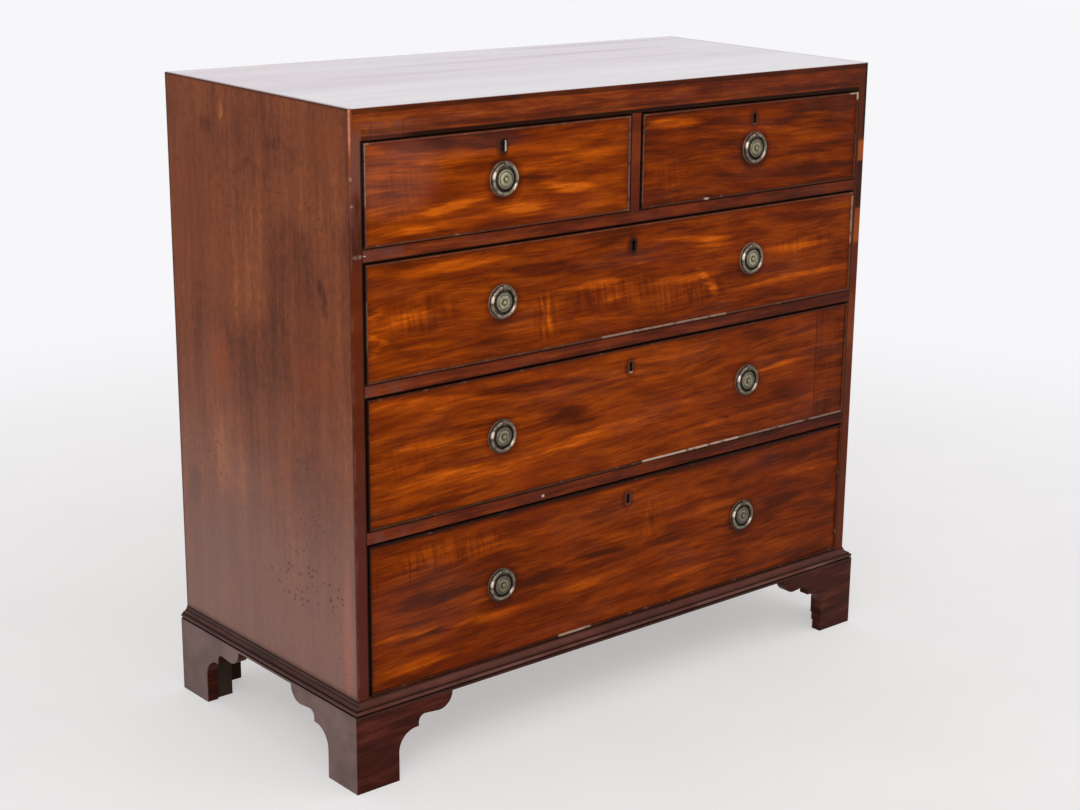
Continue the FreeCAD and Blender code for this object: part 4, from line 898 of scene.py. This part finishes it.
plainLook = {**railLook, "patchSize": (10, 60, 1), "base": 0.5, "patches": 0.5, "streaks": 0.5}


def plainFinish(name, way, dark, pale, pore=0.2):
    # Planed and never polished: growth lines, pores, and a browner dusty skin.
    finish = Finish(name, {"Specular IOR Level": 0.2})
    light, pores, streaks = figure(finish, way, plainLook)
    wood = finish.mix(light, dark, pale)
    wood = finish.mix(pores * pore, wood, (70, 48, 30))
    dust = finish.blotches(7).rising(0.35, 0.75)
    wood = finish.mix(dust * 0.35, wood, (96, 72, 50))
    rough = 0.62 + dust * 0.2
    return finish.give(wood, rough, finish.bump(streaks, 0.15, 0.0004))


pullZones = [
    # out to this radius from the pull's middle: colour, colour towards the lower right with painted
    # shade, roughness
    (0.0031, (196, 182, 128), (170, 154, 104), 0.22),
    (0.004, (30, 23, 15), (22, 17, 11), 0.7),
    (0.0058, (132, 122, 92), (112, 103, 78), 0.4),
    (0.0102, (190, 180, 150), (160, 152, 124), 0.3),
    (0.0118, (98, 90, 70), (80, 74, 56), 0.4),
    (0.0141, (150, 144, 118), (120, 114, 92), 0.32),
    (0.0186, (104, 96, 80), (20, 15, 11), 0.6),
    (0.024, (116, 98, 86), (74, 58, 49), 0.5),
    (0.027, (150, 126, 110), (118, 96, 84), 0.4),
]
# How far each drawer's pulls and rings are darkened towards the dull brown below: painted shade, for
# pulls that take less light.
pullShadeByDrawer = dict(zip(allDrawers, (0, 0.32, 0.12, 0.42, 0.55)))
dull = (52, 42, 34)
# Painted highlights on each ring: right of the middle, above it, size and strength.
ringHighlights = [(-0.0215, 0.0065, 0.0065, 0.95), (0.0175, -0.013, 0.0075, 0.55)]


def patina(finish, seed):
    # A mottled skin from dull brown to pale, and where it has gone green.
    blotch = finish.blotches(110 + seed, 4, 0.65)
    green = finish.blotches(70 + seed, 3).rising(0.5, 0.68)
    return blotch, green


def fromPull(finish, drawer):
    # How far right of the nearest pull's middle, and how far above it.
    x, _, z = finish.axes
    middles = pullMiddles(drawer)
    aside = x - middles[0][0]
    if len(middles) == 2:
        aside -= x.rising(-0.001, 0.001) * (middles[1][0] - middles[0][0])
    return aside, z - middles[0][1]


def pullFinish(drawer, seed):
    # Old brass in rings: a pale greenish boss with a brighter button, and a browner plate, each painted
    # darker towards the lower right as shade, nearly black in the hollow round the boss.
    finish = Finish(f"{drawer}_pull_brass", {})
    blotch, green = patina(finish, seed)
    aside, above = fromPull(finish, drawer)
    radius = (aside**2 + above**2) ** 0.5
    lowerRight = (aside * 0.8 - above * 0.6).rising(-0.01, 0.008)
    colour = rough = None
    inside = 0
    for edge, shade, shadeLow, thisRough in pullZones:
        tint = finish.mix(lowerRight, shade, shadeLow)
        if colour is None:
            colour, rough = tint, thisRough
        else:
            beyond = radius.rising(inside - 0.0002, inside + 0.0002)
            colour = finish.mix(beyond, colour, tint)
            rough = beyond * (thisRough - lastRough) + rough
        inside, lastRough = edge, thisRough
    colour = finish.mix(blotch.rising(0.62, 0.36) * 0.5, colour, (72, 58, 46))
    colour = finish.mix(green * 0.4, colour, (98, 112, 88))
    colour = finish.mix(pullShadeByDrawer[drawer], colour, dull)
    behind = finish.axes[1].rising(frontPlane + 0.0005, frontPlane + 0.002)
    colour = finish.mix(behind, colour, (120, 96, 56))
    rough += (blotch - 0.5) * 0.2
    return finish.give(colour, rough, finish.bump(blotch, 0.15, 0.0005), metal=0.6 + behind * 0.35)


def ringFinish(drawer, seed):
    # Dull brown, with painted highlights at the upper left and lower right, where fingers also wear it
    # bright.
    finish = Finish(f"{drawer}_ring_brass", {})
    blotch, green = patina(finish, seed)
    skin = finish.mix(blotch.rising(0.4, 0.66), (92, 80, 67), (158, 142, 121))
    colour = finish.mix(green * 0.4, skin, (92, 100, 80))
    colour = finish.mix(pullShadeByDrawer[drawer] * 0.6, colour, dull)
    aside, above = fromPull(finish, drawer)
    for right, up, size, strength in ringHighlights:
        wearAndHighlight = finish.spot(aside, above, right, up, size, size) * strength
        colour = finish.mix(wearAndHighlight, colour, (232, 212, 190))
    rough = 0.3 + (blotch - 0.5) * 0.2
    return finish.give(colour, rough, finish.bump(blotch, 0.1, 0.0004), metal=0.62 - green * 0.2)


linerLitAndShadedTones = {
    # each keyhole liner's left and right side, its foot, and the escutcheon round it; the darkest are
    # painted shade in the keyhole, the palest painted highlight
    "short_left": ((20, 12, 8), (196, 182, 158), (60, 44, 32), (30, 18, 12)),
    "short_right": ((44, 22, 13), (78, 42, 26), (104, 74, 50), (66, 32, 18)),
    "upper_long": ((20, 12, 8), (34, 20, 12), (30, 18, 12), (36, 18, 11)),
    "middle_long": ((66, 34, 22), (74, 42, 28), (176, 150, 122), (92, 46, 28)),
    "lower_long": ((52, 26, 17), (78, 40, 26), (96, 56, 40), (100, 45, 27)),
}
escutcheon = {
    "headRadius": 0.005,
    "footRadius": 0.0042,
    "height": 0.02,
    "outside": 0.0018,  # how far it reaches past the liner
    "inside": 0.0004,  # and over it
    "proud": 0.00015,
    "sunk": 0.0002,
}


def filedMetal(finish, base, pale):
    # File marks across the metal, and brown where it has tarnished.
    x, y, z = finish.axes
    file = finish.noise((x * 900, y * 90, z * 90))
    tarnish = finish.blotches(120).rising(0.5, 0.7)
    metal = finish.mix(file.rising(0.3, 0.7), base, pale)
    return finish.mix(tarnish * 0.6, metal, (92, 62, 42)), file, tarnish


def lockFinish(drawer):
    # Filed brass inside the drawer, and a thin dull liner round the keyhole in front, its sides painted
    # with shade and highlight.
    finish = Finish(f"{drawer}_lock_brass", {"Metallic": 0.85})
    x, y, z = finish.axes
    brass, file, tarnish = filedMetal(finish, (150, 122, 70), (178, 150, 92))
    left, right, foot, rim = linerLitAndShadedTones[drawer]
    keyX, keyZ = keyholeMiddle(drawer)
    liner = finish.mix(x.rising(keyX + 0.0015, keyX + 0.003), left, right)
    liner = finish.mix(z.rising(keyZ - 0.006, keyZ - 0.008), liner, foot)
    above = (abs(z - keyZ) - (escutcheon["height"] / 2 - escutcheon["headRadius"])).most(0)
    beyond = (above**2 + (x - keyX) ** 2) ** 0.5
    edge = escutcheon["headRadius"] - 0.0002
    liner = finish.mix(beyond.rising(edge - 0.0003, edge + 0.0003), liner, rim)
    isLiner = y.rising(frontPlane + 0.0055, frontPlane + 0.0045)  # the escutcheon too
    colour = finish.mix(isLiner, brass, liner)
    rough = 0.36 + tarnish * 0.26
    return finish.give(colour, rough, finish.bump(file, 0.1, 0.0003))


def ironFinish():
    finish = Finish("filedIron", {"Metallic": 0.9})
    colour, file, rust = filedMetal(finish, (96, 92, 88), (140, 136, 130))
    rough = 0.34 + rust * 0.3
    return finish.give(colour, rough, finish.bump(file, 0.1, 0.0003))


def makeEscutcheon(drawer, material):
    # A round wire pressed round the keyhole: a thin oval section carried along an outline of two
    # half circles, a larger one at the head and a smaller one at the foot.
    own = escutcheon
    keyX, keyZ = keyholeMiddle(drawer)
    turn = fullTurn(72)
    isHead = np.sin(turn) >= 0
    radius = np.where(isHead, own["headRadius"], own["footRadius"])
    middle = np.where(isHead, 1, -1) * (own["height"] / 2 - radius)
    section = fullTurn(12)[:, None]
    half = (own["outside"] + own["inside"]) / 2
    reach = radius + (own["outside"] - own["inside"]) / 2 + half * np.cos(section)
    depth = (own["proud"] + own["sunk"]) / 2
    y = frontPlane + (own["sunk"] - own["proud"]) / 2 + depth * np.sin(section) + 0 * turn
    points = np.stack([keyX + reach * np.cos(turn), y, keyZ + middle + reach * np.sin(turn)], -1)
    ring = gridPiece(f"{drawer}_escutcheon", points[None], material, closed=True, looped=True)
    fit(ring, f"{drawer}_drawer")


nails = {
    "aside": 0.505,
    "headRadius": 0.0026,
    "proud": 0.0004,
    "sunk": 0.0003,
    "places": (0.12, 0.5, 0.88),  # up each back board
    "boards": 5,
}


def makeNails(material):
    # Domes over the back boards' ends: the head falls with the square of the radius, and its rim
    # goes into the wood.
    low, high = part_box("back_boards")
    step = (high.z - low.z) / nails["boards"]
    up = low.z + step * (np.arange(nails["boards"])[:, None] + np.array(nails["places"])[None, :])
    centres = np.array([(side * nails["aside"], z) for side in (-1, 1) for z in up.ravel()])
    outward = np.array([0, 0.3, 0.6, 0.85, 1, 1])[:, None]
    turn = fullTurn(14)
    height = nails["proud"] * (1 - outward**2) + 0.0001 + 0 * turn
    height[-1] = -nails["sunk"]
    reach = nails["headRadius"] * outward
    x = centres[:, 0, None, None] + reach * np.cos(turn)
    z = centres[:, 1, None, None] + reach * np.sin(turn)
    points = np.stack(np.broadcast_arrays(x, high.y + height, z), -1)
    fit(gridPiece("back_board_nails", points, material, closed=True), "carcass")


screws = {
    "aside": 0.0235,
    "below": (0.0065, 0.0455),  # from the top of the lock
    "headRadius": 0.0032,
    "slotHalf": 0.0004,
    "proud": 0.0005,
    "sunk": 0.0003,
}


def makeScrews(drawer, number, material):
    # Each head is two halves with the slot between them: a half disc's grid runs from the slot to
    # the rim, domed with the square of the radius, and both its long edges go down into the plate.
    low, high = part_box(f"{drawer}_lock")
    own = screws
    along = own["headRadius"] * np.linspace(-0.985, 0.985, 13)[None, :]
    outward = np.array([0, 0, 0.3, 0.65, 1, 1])[:, None]
    across = own["slotHalf"] + outward * (np.sqrt(own["headRadius"] ** 2 - along**2) - own["slotHalf"])
    height = own["proud"] * (1 - 0.6 * (across**2 + along**2) / own["headRadius"] ** 2)
    height[[0, -1]] = -own["sunk"]
    halves = []
    for place in range(4):
        x = (low.x + high.x) / 2 + own["aside"] * (1 if place % 2 else -1)
        z = high.z - own["below"][place // 2]
        turn = 0.9 * number + 1.7 * place
        for way in (1, -1):
            spun = way * (across + 1j * along) * np.exp(1j * turn)
            halves.append(np.stack([x + spun.real, high.y + height, z + spun.imag], -1))
    heads = gridPiece(f"{drawer}_lock_screws", np.array(halves), material)
    fit(heads, f"{drawer}_drawer")


def clothe(material, *names):
    for name in names:
        data = nodes[name].data
        data.materials.clear()
        data.materials.append(material)


clothe(sideFinish(), "left_side", "right_side")
clothe(topFinish(), "top_board")
clothe(railFinish("topRailPolish", 0.58, 21, patch=topRailPatch), "top_rail")
clothe(railFinish("railPolish", 0.42, 4, chips=railChips), "drawer_rails", "bottom_board")
clothe(railFinish("dividerPolish", 0.56, 6, way="z"), "drawer_divider")
clothe(baseFinish("mouldingPolish", 2, caseHalf + 0.0015, 0.34, 0.22, mouldingShadeLines), "base_moulding")
feet = [f"{end}_{side}_foot" for end in ("front", "back") for side in ("left", "right")]
footOutside = -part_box("back_left_foot")[0].x
clothe(baseFinish("footPolish", 7, footOutside, 0, 0.9), *feet)
pineTones = (134, 98, 62), (176, 138, 94)
oakTones = (128, 92, 58), (172, 134, 92)
clothe(plainFinish("pine", "x", *pineTones), "back_boards", "dust_boards")
# The foot blocks are painted near black: dust, and painted shade under the chest.
clothe(plainFinish("shadedDustyPine", "x", (20, 13, 9), (36, 24, 16)), "foot_blocks")
clothe(plainFinish("pineEndways", "y", *pineTones), "runners_and_kickers")
oakSide = plainFinish("oakSide", "y", *oakTones, pore=0.4)
oakAcross = plainFinish("oakAcross", "x", *oakTones, pore=0.4)
clothe(oakAcross, "drawer_stops")
iron = ironFinish()
for number, drawer in enumerate(allDrawers):
    clothe(frontFinish(drawer), f"{drawer}_front")
    clothe(beadFinish(drawer), f"{drawer}_cock_beads")
    clothe(oakSide, f"{drawer}_box")
    clothe(oakAcross, f"{drawer}_bottom")
    clothe(pullFinish(drawer, number * 7), f"{drawer}_pulls")
    clothe(ringFinish(drawer, number * 5), *ringNames(drawer))
    brass = lockFinish(drawer)
    clothe(brass, f"{drawer}_lock")
    clothe(iron, f"{drawer}_bolt")
    makeEscutcheon(drawer, brass)
    makeScrews(drawer, number, iron)
makeNails(iron)
print("finishes and small pieces made")

bpy.context.scene.view_settings.view_transform = "Standard"
